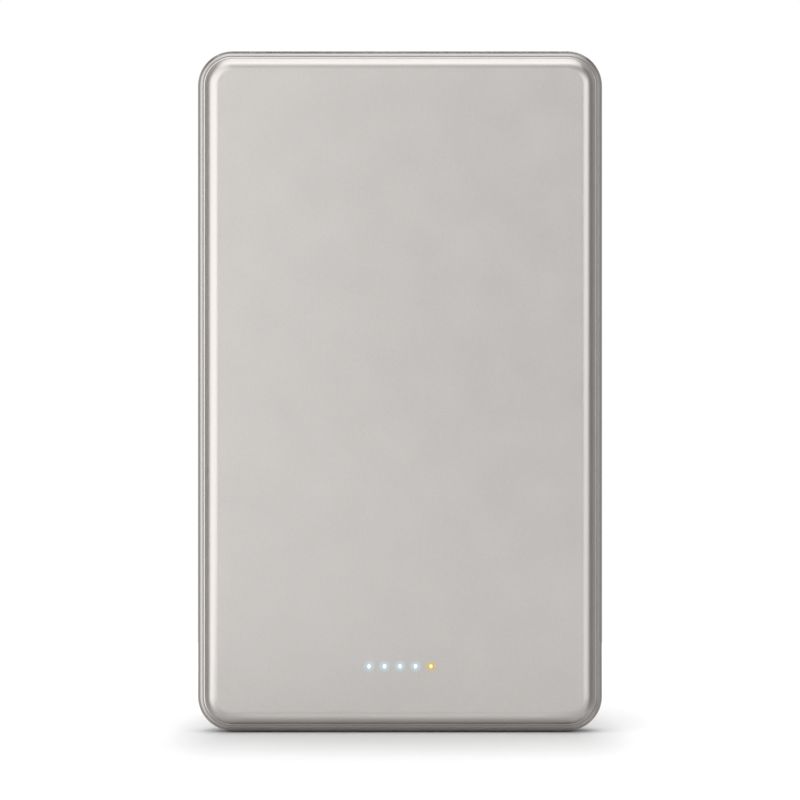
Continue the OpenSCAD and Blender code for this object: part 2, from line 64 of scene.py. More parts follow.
def add_node(tree, kind, inputs=None, **settings):
    """One shader node. inputs maps a socket's name or number to a value or to another node's output."""
    made = tree.nodes.new(kind)
    for name, value in settings.items():
        setattr(made, name, value)
    for key, value in (inputs or {}).items():
        if isinstance(value, bpy.types.NodeSocket):
            tree.links.new(value, made.inputs[key])
        else:
            made.inputs[key].default_value = value
    return made


def start_finish(name, **sockets):
    """A new material with these plain values on its shader. Returns material, tree, shader, coordinates."""
    material = bpy.data.materials.new(name)
    material.use_nodes = True
    tree = material.node_tree
    shader = tree.nodes["Principled BSDF"]
    for key, value in sockets.items():
        shader.inputs[key.replace("_", " ").title().replace("Ior", "IOR")].default_value = value
    place = add_node(tree, "ShaderNodeTexCoord").outputs["Object"]
    return material, tree, shader, place


def blasted_aluminium(name, colour, roughness=0.36):
    """Bead-blasted, anodised aluminium. The beads leave dents a few hundredths of a millimetre wide,
    drawn as a grit of 0.32 mm so that it shows, and the anodising bath leaves faint clouds."""
    spread = 0.03
    material, tree, shader, place = start_finish(name, metallic=1.0)
    grit = add_node(tree, "ShaderNodeTexNoise", {"Vector": place, "Scale": 1 / (0.32 * mm), "Detail": 1.0})
    cloud = add_node(tree, "ShaderNodeTexNoise", {"Vector": place, "Scale": 1 / (7 * mm), "Detail": 3.0})
    both = add_node(tree, "ShaderNodeMix", {
        "Factor": 0.33, "A": grit.outputs["Fac"], "B": cloud.outputs["Fac"]})
    shade = add_node(tree, "ShaderNodeMapRange", {
        "Value": both.outputs["Result"], "From Min": 0.3, "From Max": 0.7, "To Min": 0.966, "To Max": 1.034})
    tinted = add_node(tree, "ShaderNodeVectorMath", {0: linear(colour)[:3], "Scale": shade.outputs["Result"]},
                      operation="SCALE")
    dull = add_node(tree, "ShaderNodeMapRange", {
        "Value": both.outputs["Result"], "From Min": 0.3, "From Max": 0.7,
        "To Min": roughness - spread, "To Max": roughness + spread})
    dents = add_node(tree, "ShaderNodeBump", {
        "Height": grit.outputs["Fac"], "Strength": 0.25, "Distance": 0.01 * mm})
    tree.links.new(tinted.outputs["Vector"], shader.inputs["Base Color"])
    tree.links.new(dull.outputs["Result"], shader.inputs["Roughness"])
    tree.links.new(dents.outputs["Normal"], shader.inputs["Normal"])
    return material


def rounded_plate(bm, width, height, radius, at, steps=16):
    """A flat face with round corners, facing +Z, with its middle at the point at. Returns the face."""
    corners = bmesh.ops.create_grid(bm, x_segments=1, y_segments=1, size=0.5)["verts"]
    bmesh.ops.scale(bm, vec=(width, height, 1), verts=corners)
    bmesh.ops.translate(bm, vec=at, verts=corners)
    made = bmesh.ops.bevel(bm, geom=corners, offset=radius, segments=steps, profile=0.5,
                           affect="VERTICES", material=-1)
    return next(f for f in made["verts"][0].link_faces if f.is_valid)


def thicken(bm, face, depth):
    """Extrudes a face along Z and keeps the face, which makes a closed block. Returns the new end."""
    top = bmesh.ops.extrude_face_region(bm, geom=[face])["geom"]
    bmesh.ops.translate(bm, vec=(0, 0, depth), verts=[v for v in top if isinstance(v, bmesh.types.BMVert)])
    return next(f for f in top if isinstance(f, bmesh.types.BMFace))


def inset(bm, face, margin):
    """Draws a face in by a margin, which leaves a flat rim round it."""
    bmesh.ops.inset_region(bm, faces=[face], thickness=margin, use_even_offset=True)


def step_in(bm, face, margin, rise):
    """Insets a face by a margin and moves it along Z by a rise, which leaves a slope round it."""
    inset(bm, face, margin)
    bmesh.ops.translate(bm, vec=(0, 0, rise), verts=list(face.verts))


def push(bm, face, depth):
    """Moves a face along Z, with an upright wall from its old rim to the new. Returns the moved face."""
    moved = bmesh.ops.extrude_face_region(bm, geom=[face])["geom"]
    bmesh.ops.delete(bm, geom=[face], context="FACES_KEEP_BOUNDARY")
    bmesh.ops.translate(bm, vec=(0, 0, depth), verts=[v for v in moved if isinstance(v, bmesh.types.BMVert)])
    return next(f for f in moved if isinstance(f, bmesh.types.BMFace))


def sink(bm, face, margin, depth):
    """Insets a face by a margin and pushes the inner part along Z. Returns the inner face."""
    inset(bm, face, margin)
    return push(bm, face, depth)


def open_through(bm, ends):
    """Makes a block a ring: takes out its two end faces and joins their rims with an inner wall."""
    rims = [edge for face in ends for edge in face.edges]
    bmesh.ops.delete(bm, geom=ends, context="FACES_ONLY")
    bmesh.ops.bridge_loops(bm, edges=rims)


def trim(bm, point, normal):
    """Cuts a closed mesh at a plane, drops the side that the normal points to and closes the cut."""
    bmesh.ops.bisect_plane(bm, geom=list(bm.verts) + list(bm.edges) + list(bm.faces),
                           plane_co=point, plane_no=normal, clear_outer=True)
    bmesh.ops.holes_fill(bm, edges=[e for e in bm.edges if e.is_boundary])


def make_piece(name, bm, finish, body, stand_for=(), sharp=32):
    """Stands a mesh that was drawn lying flat, and makes it a piece with clean shading."""
    bmesh.ops.remove_doubles(bm, verts=bm.verts, dist=0.0005 * mm)
    bmesh.ops.recalc_face_normals(bm, faces=bm.faces)
    if bm.calc_volume(signed=True) < 0:
        bmesh.ops.reverse_faces(bm, faces=bm.faces)
    bmesh.ops.rotate(bm, cent=(0, 0, 0), matrix=Matrix.Rotation(radians(90), 3, "X"), verts=bm.verts)
    mesh = bpy.data.meshes.new(name)
    bm.to_mesh(mesh)
    bm.free()
    mesh.materials.append(finish)
    mesh.shade_smooth()
    mesh.set_sharp_from_angle(angle=radians(sharp))
    piece = bpy.data.objects.new(name, mesh)
    bpy.context.scene.collection.objects.link(piece)
    even = piece.modifiers.new("even_shading", "WEIGHTED_NORMAL")
    even.keep_sharp = True
    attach(piece, body)
    for node in stand_for:
        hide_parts(node)
    return piece


def carve(bm, other, how="DIFFERENCE"):
    """Cuts one closed mesh out of another, or joins the two. Both are used up. The work is done in
    millimetres, because the cut needs steps wider than a micrometre. Returns the result."""
    pair = []
    for shape in (bm, other):
        bmesh.ops.scale(shape, vec=(1 / mm, 1 / mm, 1 / mm), verts=shape.verts)
        bmesh.ops.remove_doubles(shape, verts=shape.verts, dist=0.004)
        bmesh.ops.recalc_face_normals(shape, faces=shape.faces)
        mesh = bpy.data.meshes.new("carving")
        shape.to_mesh(mesh)
        shape.free()
        pair.append(bpy.data.objects.new("carving", mesh))
        bpy.context.scene.collection.objects.link(pair[-1])
    knife = pair[0].modifiers.new("carving", "BOOLEAN")
    knife.solver = "EXACT"
    knife.operation = how
    knife.object = pair[1]
    result = bmesh.new()
    result.from_object(pair[0], bpy.context.evaluated_depsgraph_get())
    bmesh.ops.scale(result, vec=(mm, mm, mm), verts=result.verts)
    for part in pair:
        mesh = part.data
        bpy.data.objects.remove(part)
        bpy.data.meshes.remove(mesh)
    return result


def cutter(width, height, radius, depth, flare, turn=None, at=(0, 0, 0), steps=10):
    """A closed cutter for a round-cornered hole with a chamfer at the surface, from which it stands
    proud. It is made pointing down at the origin, given a turn, and moved to the point at."""
    proud = 1 * mm
    bm = bmesh.new()
    face = rounded_plate(bm, width + 2 * flare, height + 2 * flare, radius + flare, (0, 0, 0), steps=steps)
    thicken(bm, face, proud)
    if flare:
        step_in(bm, face, flare, -flare)
    push(bm, face, -depth)
    if turn:
        bmesh.ops.rotate(bm, cent=(0, 0, 0), matrix=turn, verts=bm.verts)
    bmesh.ops.translate(bm, vec=at, verts=bm.verts)
    return bm


low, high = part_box("mid_frame")
band_w = high.x - low.x
band_h = high.z - low.z
band_t = high.y - low.y
middle_y = (low.z + high.z) / 2
corner_r = 5.6 * mm
wall = 2.6 * mm
lip_w = 0.8 * mm
lip_cut = 0.4 * mm
slope_w = 0.36 * mm
slope_d = 0.2 * mm
step_d = 0.6 * mm
mouth_edge = 0.25 * mm
sheet_t = 0.3 * mm
# the radius of a fully round end, as a share of half its width
round_end = 0.99

# the outer edge of the lip is milled off at 45 degrees, then slopes gently up to its crest
bm = bmesh.new()
rim_drop = lip_cut + slope_d
outline = rounded_plate(bm, band_w, band_h, corner_r, (0, middle_y, rim_drop - band_t / 2), steps=24)
front = thicken(bm, outline, band_t - 2 * rim_drop)
ledges = []
for land, side in ((front, 1), (outline, -1)):
    step_in(bm, land, lip_cut, side * lip_cut)
    step_in(bm, land, slope_w, side * slope_d)
    ledge = sink(bm, land, lip_w - lip_cut - slope_w, -side * step_d)
    inset(bm, ledge, wall - lip_w)
    ledges.append(ledge)
open_through(bm, ledges)

upwards = Matrix.Rotation(radians(-90), 3, "X")
leftwards = Matrix.Rotation(radians(-90), 3, "Y")
top_y = high.z
usb_a_low, usb_a_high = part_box("usb_a_tongue")
usb_a_x = (usb_a_low.x + usb_a_high.x) / 2
usb_a_w = 13.1 * mm
usb_a_t = 5.7 * mm
usb_a_r = 0.7 * mm
usb_c_low, usb_c_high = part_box("usb_c_shell")
usb_c_x = (usb_c_low.x + usb_c_high.x) / 2
usb_c_w = usb_c_high.x - usb_c_low.x
usb_c_t = usb_c_high.y - usb_c_low.y
mouth_y = usb_c_high.z
fit = 0.1 * mm
button_low, button_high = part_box("power_button")
button_y = (button_low.z + button_high.z) / 2
button_l = 8 * mm
button_w = 2.4 * mm
button_fit = 0.08 * mm
slot_edge = 0.1 * mm

for x, width, height, radius in ((usb_a_x, usb_a_w, usb_a_t, usb_a_r),
                                 (usb_c_x, usb_c_w, usb_c_t, usb_c_t / 2 * round_end)):
    pocket = cutter(width + 2 * fit, height + 2 * fit, radius + fit, wall, 0, upwards, (x, mouth_y, 0))
    trim(pocket, (0, mouth_y, 0), (0, 1, 0))
    bm = carve(bm, pocket)
    mouth = cutter(width - sheet_t, height - sheet_t, radius - sheet_t / 2, 2 * wall, mouth_edge,
                   upwards, (x, top_y, 0))
    bm = carve(bm, mouth)
button_slot = cutter(button_w + 2 * button_fit, button_l + 2 * button_fit,
                     button_w / 2 * round_end + button_fit, 2 * wall, slot_edge,
                     leftwards, (low.x, button_y, 0))
bm = carve(bm, button_slot)

# the mill leaves its chamfers, which lean about 45 degrees, smoother than the beads leave the rest,
# so they shine as fine lines
# both finishes take a colour a shade darker than the covers' aluminium: painted shade for the lips
band_finish = blasted_aluminium("blasted_aluminium_band", "#b5b1ae")
cut_finish = blasted_aluminium("cut_aluminium_edge", "#b5b1ae", roughness=0.12)
bm.normal_update()
for face in bm.faces:
    at = face.calc_center_median()
    leans = [abs(face.normal.z)]
    if at.y > top_y - mouth_edge:
        leans.append(abs(face.normal.y))
    if at.x < low.x + slot_edge:
        leans.append(abs(face.normal.x))
    face.material_index = int(any(0.5 < lean < 0.8 for lean in leans))
band = make_piece("frame_band", bm, band_finish, "case", ["mid_frame"], sharp=12)
band.data.materials.append(cut_finish)


# ---- Button ----
# A bar of the same aluminium with round ends and a crowned face. Its flange lies behind the wall
# of the frame, so that it can't fall out, and presses the switch.

def round_over(bm, edges, radius, steps):
    """Rounds edges over with a true arc."""
    bmesh.ops.bevel(bm, geom=list(edges), offset=radius, segments=steps, profile=0.5,
                    affect="EDGES", material=-1)


flange_w = button_high.y - button_low.y
flange_l = button_high.z - button_low.z
flange_t = 0.5 * mm
button_t = button_high.x - button_low.x
crown_r = 0.3 * mm
bm = bmesh.new()
face = rounded_plate(bm, button_w, button_l, button_w / 2 * round_end, (0, 0, flange_t / 2))
top = thicken(bm, face, button_t - flange_t / 2)
round_over(bm, top.edges, radius=crown_r, steps=5)
flange = bmesh.new()
face = rounded_plate(flange, flange_w, flange_l, flange_w / 2 * round_end, (0, 0, 0))
thicken(flange, face, flange_t)
bm = carve(bm, flange, "UNION")
bmesh.ops.rotate(bm, cent=(0, 0, 0), matrix=leftwards, verts=bm.verts)
bmesh.ops.translate(bm, vec=(button_high.x, button_y, 0), verts=bm.verts)
# the button takes the frame's colour, drawn darker than the covers' as painted shade
button_finish = blasted_aluminium("blasted_aluminium_button", "#b5b1ae")
make_piece("button_bar", bm, button_finish, "button", ["power_button"])


# ---- Side switch ----
# A flat polyimide circuit stands inside the left wall and folds onto both boards at its ends. It
# carries a side push switch. A steel plate bonded behind the switch takes the press.

def dress(finish, *names):
    """Puts a finish on CAD nodes that keep their shape."""
    for name in names:
        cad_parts[name].material_slots[0].material = finish


def moulded(name, dark, light, grain, relief=0.003 * mm, **sockets):
    """A moulded or cast material. Its colour wanders between two close shades, and its skin has the
    fine relief of a spark-worn mould, both at the size of one grain."""
    material, tree, shader, place = start_finish(name, **sockets)
    grit = add_node(tree, "ShaderNodeTexNoise", {"Vector": place, "Scale": 1 / grain, "Detail": 4.0})
    share = add_node(tree, "ShaderNodeMapRange", {
        "Value": grit.outputs["Fac"], "From Min": 0.3, "From Max": 0.7})
    colour = add_node(tree, "ShaderNodeMix", {
        "Factor": share.outputs["Result"], 6: linear(dark), 7: linear(light)}, data_type="RGBA")
    skin = add_node(tree, "ShaderNodeBump", {
        "Height": grit.outputs["Fac"], "Strength": 0.5, "Distance": relief})
    tree.links.new(colour.outputs[2], shader.inputs["Base Color"])
    tree.links.new(skin.outputs["Normal"], shader.inputs["Normal"])
    return material


def rolled_metal(name, colour, streak, roughness):
    """Rolled or plated sheet metal. The rolls leave short streaks, so the gloss changes across them.
    streak gives the size of one streak along X, Y and Z."""
    spread = 0.06
    material, tree, shader, place = start_finish(name, metallic=1.0)
    drawn = add_node(tree, "ShaderNodeMapping", {"Vector": place, "Scale": [1 / length for length in streak]})
    lines = add_node(tree, "ShaderNodeTexNoise", {
        "Vector": drawn.outputs["Vector"], "Scale": 1.0, "Detail": 3.0})
    shade = add_node(tree, "ShaderNodeMapRange", {
        "Value": lines.outputs["Fac"], "From Min": 0.3, "From Max": 0.7, "To Min": 0.94, "To Max": 1.04})
    tinted = add_node(tree, "ShaderNodeVectorMath", {0: linear(colour)[:3], "Scale": shade.outputs["Result"]},
                      operation="SCALE")
    dull = add_node(tree, "ShaderNodeMapRange", {
        "Value": lines.outputs["Fac"], "From Min": 0.3, "From Max": 0.7,
        "To Min": roughness - spread, "To Max": roughness + spread})
    tree.links.new(tinted.outputs["Vector"], shader.inputs["Base Color"])
    tree.links.new(dull.outputs["Result"], shader.inputs["Roughness"])
    return material


# polyimide over copper: amber film, a darker gold over each 0.3 mm track that runs up the strip
film_finish, tree, shader, place = start_finish("polyimide_film", roughness=0.32)
axes = add_node(tree, "ShaderNodeSeparateXYZ", {"Vector": place})
beside = add_node(tree, "ShaderNodeMath", {0: axes.outputs["Y"], 1: 0.3 * mm}, operation="PINGPONG")
track = add_node(tree, "ShaderNodeMapRange", {
    "Value": beside.outputs[0], "From Min": 0.13 * mm, "From Max": 0.17 * mm})
amber = add_node(tree, "ShaderNodeMix", {
    "Factor": track.outputs["Result"], 6: linear("#9a5a1e"), 7: linear("#b9772c")}, data_type="RGBA")
step = add_node(tree, "ShaderNodeBump", {
    "Height": track.outputs["Result"], "Strength": 0.6, "Distance": 0.01 * mm})
tree.links.new(amber.outputs[2], shader.inputs["Base Color"])
tree.links.new(step.outputs["Normal"], shader.inputs["Normal"])
dress(film_finish, "side_flex")

# glass-filled nylon: near black, with the dull speckle that short fibres leave at the skin
nylon_finish = moulded("glass_filled_nylon", "#191a1c", "#26282a", grain=0.12 * mm, roughness=0.46)
dress(nylon_finish, "switch_body")

# liquid-crystal polymer: ivory, satin, with pale flow marks from the gate
ivory_finish = moulded("liquid_crystal_polymer", "#d9cfb4", "#e9e1c9", grain=0.4 * mm, roughness=0.4)
dress(ivory_finish, "flex_connectors", "switch_plunger")

# rolled stainless sheet: cool grey, with fine streaks along the plate
plate_finish = rolled_metal("rolled_stainless_sheet", "#b7b8b9", streak=(0.06 * mm, 0.06 * mm, 1.5 * mm),
                            roughness=0.3)
dress(plate_finish, "switch_stiffener")


# ---- Tray ----
# An injection-moulded tray of dark ABS lies behind the boards and the cell. It is screwed to the
# boards, and a sheet of double-sided tissue tape holds it to the back cover.

# spark-worn ABS: dark grey and dull, with an even leather-like grain
tray_finish = moulded("spark_textured_abs", "#34363a", "#42454a", grain=0.25 * mm, relief=0.008 * mm,
                      roughness=0.58)
dress(tray_finish, "inner_tray")

# tissue tape: milky white, with the cloudy fibres of its carrier showing through the glue
tissue_finish = moulded("acrylic_tissue_tape", "#d4d3cc", "#efeee8", grain=0.7 * mm, relief=0.002 * mm,
                        roughness=0.38)
dress(tissue_finish, "tray_tape", "cell_tape")


# ---- Cell ----
# A lithium polymer pouch, deep drawn from laminated foil, lies in the tray on a sheet of tape and
# under a foam pad. Two nickel tabs join it to a small protection board, and two wires go on.

def eased_block(bm, low, high, radius, ease, steps=3):
    """Fills the box between two corners with a block that has round corners and eased edges."""
    middle = (low + high) / 2
    back = rounded_plate(bm, high.x - low.x, high.z - low.z, radius, (middle.x, middle.z, -high.y), steps=6)
    front = thicken(bm, back, high.y - low.y)
    round_over(bm, list(front.edges) + list(back.edges), ease, steps)


# laminated aluminium foil: silver with a satin nylon skin, softly wrinkled by the electrodes below
foil_finish, tree, shader, place = start_finish(
    "laminated_pouch_foil", metallic=1.0, roughness=0.3, coat_weight=0.3, coat_roughness=0.35)
waves = add_node(tree, "ShaderNodeTexNoise", {"Vector": place, "Scale": 1 / (6 * mm), "Detail": 5.0})
foil = add_node(tree, "ShaderNodeMix", {
    "Factor": waves.outputs["Fac"], 6: linear("#a9abad"), 7: linear("#c3c5c7")}, data_type="RGBA")
soft = add_node(tree, "ShaderNodeBump", {
    "Height": waves.outputs["Fac"], "Strength": 0.6, "Distance": 0.15 * mm})
tree.links.new(foil.outputs[2], shader.inputs["Base Color"])
tree.links.new(soft.outputs["Normal"], shader.inputs["Normal"])
cell_low, cell_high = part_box("battery_cell")
seam_t = 0.35 * mm
seam_h = 5 * mm
seam_start = 3 * mm
seam_end = 4 * mm
pouch_r = 1.4 * mm
terrace_h = 1.2 * mm
terrace_in = 3 * mm
terrace_front = -0.3 * mm
terrace_back = 0.15 * mm
bm = bmesh.new()
eased_block(bm, Vector((cell_low.x + seam_t, cell_low.y, cell_low.z)),
            Vector((cell_high.x - seam_t, cell_high.y, cell_high.z - terrace_h)),
            radius=pouch_r, ease=pouch_r, steps=5)
middle = (cell_low + cell_high) / 2
for x in (cell_low.x, cell_high.x - seam_t * 1.1):
    eased_block(bm, Vector((x, middle.y - seam_h / 2, cell_low.z + seam_start)),
                Vector((x + seam_t * 1.1, middle.y + seam_h / 2, cell_high.z - seam_end)),
                radius=0.12 * mm, ease=0.1 * mm)
eased_block(bm, Vector((cell_low.x + terrace_in, terrace_front, cell_high.z - terrace_h * 1.5)),
            Vector((cell_high.x - terrace_in, terrace_back, cell_high.z)),
            radius=0.4 * mm, ease=0.1 * mm)
make_piece("pouch", bm, foil_finish, "case", ["battery_cell"])

# open-cell polyurethane foam: mid grey, full of pores, drawn 0.5 mm wide so that they show; each pore
# is painted darker towards its middle, as shade in the pit
foam_finish, tree, shader, place = start_finish("open_cell_foam", roughness=0.95)
pores = add_node(tree, "ShaderNodeTexVoronoi", {"Vector": place, "Scale": 1 / (0.5 * mm)})
pit_depth_and_shade = add_node(tree, "ShaderNodeMapRange", {"Value": pores.outputs["Distance"], "From Max": 0.6})
# the dark end of this mix is painted shade at the bottom of each pore
grey = add_node(tree, "ShaderNodeMix", {
    "Factor": pit_depth_and_shade.outputs["Result"], 6: linear("#3c3d3f"), 7: linear("#74767a")}, data_type="RGBA")
pits = add_node(tree, "ShaderNodeBump", {
    "Height": pit_depth_and_shade.outputs["Result"], "Strength": 0.8, "Distance": 0.12 * mm})
tree.links.new(grey.outputs[2], shader.inputs["Base Color"])
tree.links.new(pits.outputs["Normal"], shader.inputs["Normal"])
bm = bmesh.new()
eased_block(bm, *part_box("cell_foam"), radius=1.5 * mm, ease=0.25 * mm)
make_piece("foam_pad", bm, foam_finish, "case", ["cell_foam"])

# nickel strip: warm grey metal with rolling streaks along each tab
strip_finish = rolled_metal("rolled_nickel_strip", "#b3ada3", streak=(0.08 * mm, 0.08 * mm, 1.2 * mm),
                            roughness=0.28)
dress(strip_finish, "cell_tabs")

# silicone-covered wire: soft, slightly dusty colours with a silky skin
red_finish = moulded("red_silicone_sleeve", "#a11c18", "#b92a22", grain=0.3 * mm, roughness=0.42)
black_finish = moulded("black_silicone_sleeve", "#161616", "#242424", grain=0.3 * mm, roughness=0.42)
dress(red_finish, "positive_lead")
dress(black_finish, "negative_lead")


def masked_board(name, node):
    """A circuit board of glass-fibre laminate. Its faces are green lacquer, lighter over the copper
    tracks and areas under it, and its cut edges show the straw colour of the laminate."""
    low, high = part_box(node)
    material, tree, shader, place = start_finish(name, roughness=0.34)
    axes = add_node(tree, "ShaderNodeSeparateXYZ", {"Vector": place})
    areas = add_node(tree, "ShaderNodeTexVoronoi", {"Vector": place, "Scale": 1 / (3.2 * mm)},
                     distance="CHEBYCHEV")
    kind = add_node(tree, "ShaderNodeSeparateColor", {"Color": areas.outputs["Color"]})
    way = add_node(tree, "ShaderNodeMath", {0: kind.outputs["Red"], 1: 0.5}, operation="GREATER_THAN")
    run = add_node(tree, "ShaderNodeMix", {
        "Factor": way.outputs[0], "A": axes.outputs["X"], "B": axes.outputs["Z"]})
    beside = add_node(tree, "ShaderNodeMath", {0: run.outputs["Result"], 1: 0.3 * mm}, operation="PINGPONG")
    track = add_node(tree, "ShaderNodeMapRange", {
        "Value": beside.outputs[0], "From Min": 0.16 * mm, "From Max": 0.19 * mm})
    poured = add_node(tree, "ShaderNodeMath", {0: kind.outputs["Green"], 1: 0.6}, operation="GREATER_THAN")
    copper = add_node(tree, "ShaderNodeMath", {0: track.outputs["Result"], 1: poured.outputs[0]},
                      operation="MAXIMUM")
    lacquer = add_node(tree, "ShaderNodeMix", {
        "Factor": copper.outputs[0], 6: linear("#153f2a"), 7: linear("#23663f")}, data_type="RGBA")
    depth = add_node(tree, "ShaderNodeMath", {0: axes.outputs["Y"], 1: (low.y + high.y) / 2},
                     operation="SUBTRACT")
    away = add_node(tree, "ShaderNodeMath", {0: depth.outputs[0]}, operation="ABSOLUTE")
    edge = add_node(tree, "ShaderNodeMath", {0: away.outputs[0], 1: (high.y - low.y) / 2 - 0.03 * mm},
                    operation="LESS_THAN")
    colour = add_node(tree, "ShaderNodeMix", {
        "Factor": edge.outputs[0], 6: lacquer.outputs[2], 7: linear("#b5a372")}, data_type="RGBA")
    step = add_node(tree, "ShaderNodeBump", {
        "Height": copper.outputs[0], "Strength": 0.5, "Distance": 0.03 * mm})
    tree.links.new(colour.outputs[2], shader.inputs["Base Color"])
    tree.links.new(step.outputs["Normal"], shader.inputs["Normal"])
    return material


dress(masked_board("masked_protection_board", "protection_board"), "protection_board")


# ---- Socket board ----
# The main circuit board, screwed to the tray at both ends, carries the converter: a moulded
# inductor under a heat-conducting pad, two power chips and a row of ceramic capacitors.

board_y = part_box("main_board")[0].y
dress(masked_board("masked_socket_board", "main_board"), "main_board")

# pressed iron powder: dull dark grey with a fine sparkle of grains
powder_finish = moulded("pressed_iron_powder", "#323335", "#4b4c4e", grain=0.1 * mm, relief=0.006 * mm,
                        roughness=0.55, metallic=0.35)
coil_low, coil_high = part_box("power_inductor")
end_t = 0.12 * mm
end_space = Vector((0, 0, end_t))
bm = bmesh.new()
eased_block(bm, coil_low + end_space, coil_high - end_space, radius=0.7 * mm, ease=0.3 * mm, steps=4)
make_piece("inductor_core", bm, powder_finish, "case", ["power_inductor"])

# tinned copper: pale bright ends that wrap up from the solder at both sides of the core
tin_finish = rolled_metal("tinned_copper", "#c8c7c2", streak=(0.3 * mm, 0.3 * mm, 0.3 * mm), roughness=0.34)
end_w = 2.4 * mm
end_h = 1.1 * mm
bm = bmesh.new()
middle = (coil_low + coil_high) / 2
for z in (coil_low.z, coil_high.z - 3 * end_t):
    eased_block(bm, Vector((middle.x - end_w / 2, coil_high.y - end_h, z)),
                Vector((middle.x + end_w / 2, coil_high.y, z + 3 * end_t)),
                radius=0.05 * mm, ease=0.04 * mm, steps=2)
make_piece("inductor_ends", bm, tin_finish, "case", ["power_inductor"])

# epoxy moulding compound: black, matt, slightly uneven where the laser cleaned it
resin_finish = moulded("epoxy_moulding_compound", "#1b1b1d", "#29292b", grain=0.15 * mm, relief=0.004 * mm,
                       roughness=0.6)
chip_low, chip_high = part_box("power_chips")
chip_w = 3.6 * mm
chip_t = chip_high.y - chip_low.y
chip_edge = 0.06 * mm
pad_out = 0.03 * mm
pad_w = 0.26 * mm
pad_l = 0.3 * mm
pad_t = 0.2 * mm
pad_pitch = 0.5 * mm
mark_w = 0.5 * mm
mark_d = 0.06 * mm
mark_in = 0.6 * mm
resin_w = chip_w - 2 * pad_out
chip_corners = ((chip_low.x, chip_low.z), (chip_high.x - chip_w, chip_high.z - chip_w))
body = bmesh.new()
pads = bmesh.new()
for x, z in chip_corners:
    centre = Vector((x + chip_w / 2, z + chip_w / 2, -chip_high.y))
    plate = rounded_plate(body, resin_w, resin_w, 0.1 * mm, centre, steps=3)
    top = thicken(body, plate, chip_t - chip_edge)
    step_in(body, top, chip_edge, chip_edge)
    for i in range(-2, 3):
        for turn in range(4):
            pad = bmesh.ops.create_cube(pads, size=1)["verts"]
            bmesh.ops.scale(pads, vec=(pad_w, pad_l, pad_t), verts=pad)
            bmesh.ops.translate(pads, vec=(i * pad_pitch, (chip_w - pad_l) / 2, pad_t / 2), verts=pad)
            bmesh.ops.rotate(pads, cent=(0, 0, 0), matrix=Matrix.Rotation(radians(90 * turn), 3, "Z"),
                             verts=pad)
            bmesh.ops.translate(pads, vec=centre, verts=pad)
for x, z in chip_corners:
    corner_mark = cutter(mark_w, mark_w, mark_w / 2 * 0.98, mark_d, 0,
                         at=(x + mark_in, z + mark_in, -chip_low.y), steps=6)
    body = carve(body, corner_mark)
make_piece("chip_bodies", body, resin_finish, "case", ["power_chips"])
make_piece("chip_pads", pads, tin_finish, "case", ["power_chips"])

# fired ceramic with tinned ends: tan in the middle, bright metal for a third of a millimetre at each end
cap_low, cap_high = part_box("output_capacitors")
cap_pitch = 3 * mm
cap_l = 1.6 * mm
tin_l = 0.33 * mm
cap_finish, tree, shader, place = start_finish("fired_ceramic_tinned_ends")
axes = add_node(tree, "ShaderNodeSeparateXYZ", {"Vector": place})
along = add_node(tree, "ShaderNodeMath", {0: axes.outputs["X"], 1: cap_low.x + cap_l / 2},
                 operation="SUBTRACT")
local = add_node(tree, "ShaderNodeMath", {0: along.outputs[0], 1: cap_pitch / 2, 2: -cap_pitch / 2},
                 operation="WRAP")
away = add_node(tree, "ShaderNodeMath", {0: local.outputs[0]}, operation="ABSOLUTE")
tinned = add_node(tree, "ShaderNodeMath", {0: away.outputs[0], 1: cap_l / 2 - tin_l},
                  operation="GREATER_THAN")
fired = add_node(tree, "ShaderNodeTexNoise", {"Vector": place, "Scale": 1 / (0.2 * mm), "Detail": 3.0})
clay = add_node(tree, "ShaderNodeMix", {
    "Factor": fired.outputs["Fac"], 6: linear("#8a6442"), 7: linear("#a67f5a")}, data_type="RGBA")
colour = add_node(tree, "ShaderNodeMix", {
    "Factor": tinned.outputs[0], 6: clay.outputs[2], 7: linear("#c9c9c6")}, data_type="RGBA")
gloss = add_node(tree, "ShaderNodeMapRange", {"Value": fired.outputs["Fac"], "To Min": 0.3, "To Max": 0.45})
tree.links.new(colour.outputs[2], shader.inputs["Base Color"])
tree.links.new(tinned.outputs[0], shader.inputs["Metallic"])
tree.links.new(gloss.outputs["Result"], shader.inputs["Roughness"])
bm = bmesh.new()
cap_size = Vector((cap_l, cap_high.y - cap_low.y, cap_high.z - cap_low.z))
for i in range(4):
    corner = cap_low + Vector((i * cap_pitch, 0, 0))
    eased_block(bm, corner, corner + cap_size, radius=0.1 * mm, ease=0.09 * mm)
make_piece("capacitor_row", bm, cap_finish, "case", ["output_capacitors"])

# filled silicone sheet: pale blue, soft and dusty with ceramic filler
pad_finish = moulded("filled_silicone_pad", "#8fa9b8", "#a9c0cc", grain=0.2 * mm, relief=0.01 * mm,
                     roughness=0.75)
bm = bmesh.new()
eased_block(bm, *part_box("thermal_pad"), radius=0.5 * mm, ease=0.2 * mm)
make_piece("gap_pad", bm, pad_finish, "case", ["thermal_pad"])

# zinc-plated steel: bright grey with fine turning marks round the shank and the head
screw_finish = rolled_metal("zinc_plated_steel", "#a9abad", streak=(0.5 * mm, 0.05 * mm, 0.5 * mm),
                            roughness=0.32)


def turned(bm, outline, x, y, steps=24):
    """Turns an outline of radius and height pairs round an upright axis at x and y."""
    chain = [bm.verts.new((x + r, y, z)) for r, z in outline]
    path = [bm.edges.new(pair) for pair in zip(chain, chain[1:])]
    bmesh.ops.spin(bm, geom=chain + path, cent=(x, y, 0), axis=(0, 0, 1), angle=radians(360),
                   steps=steps, use_merge=True)


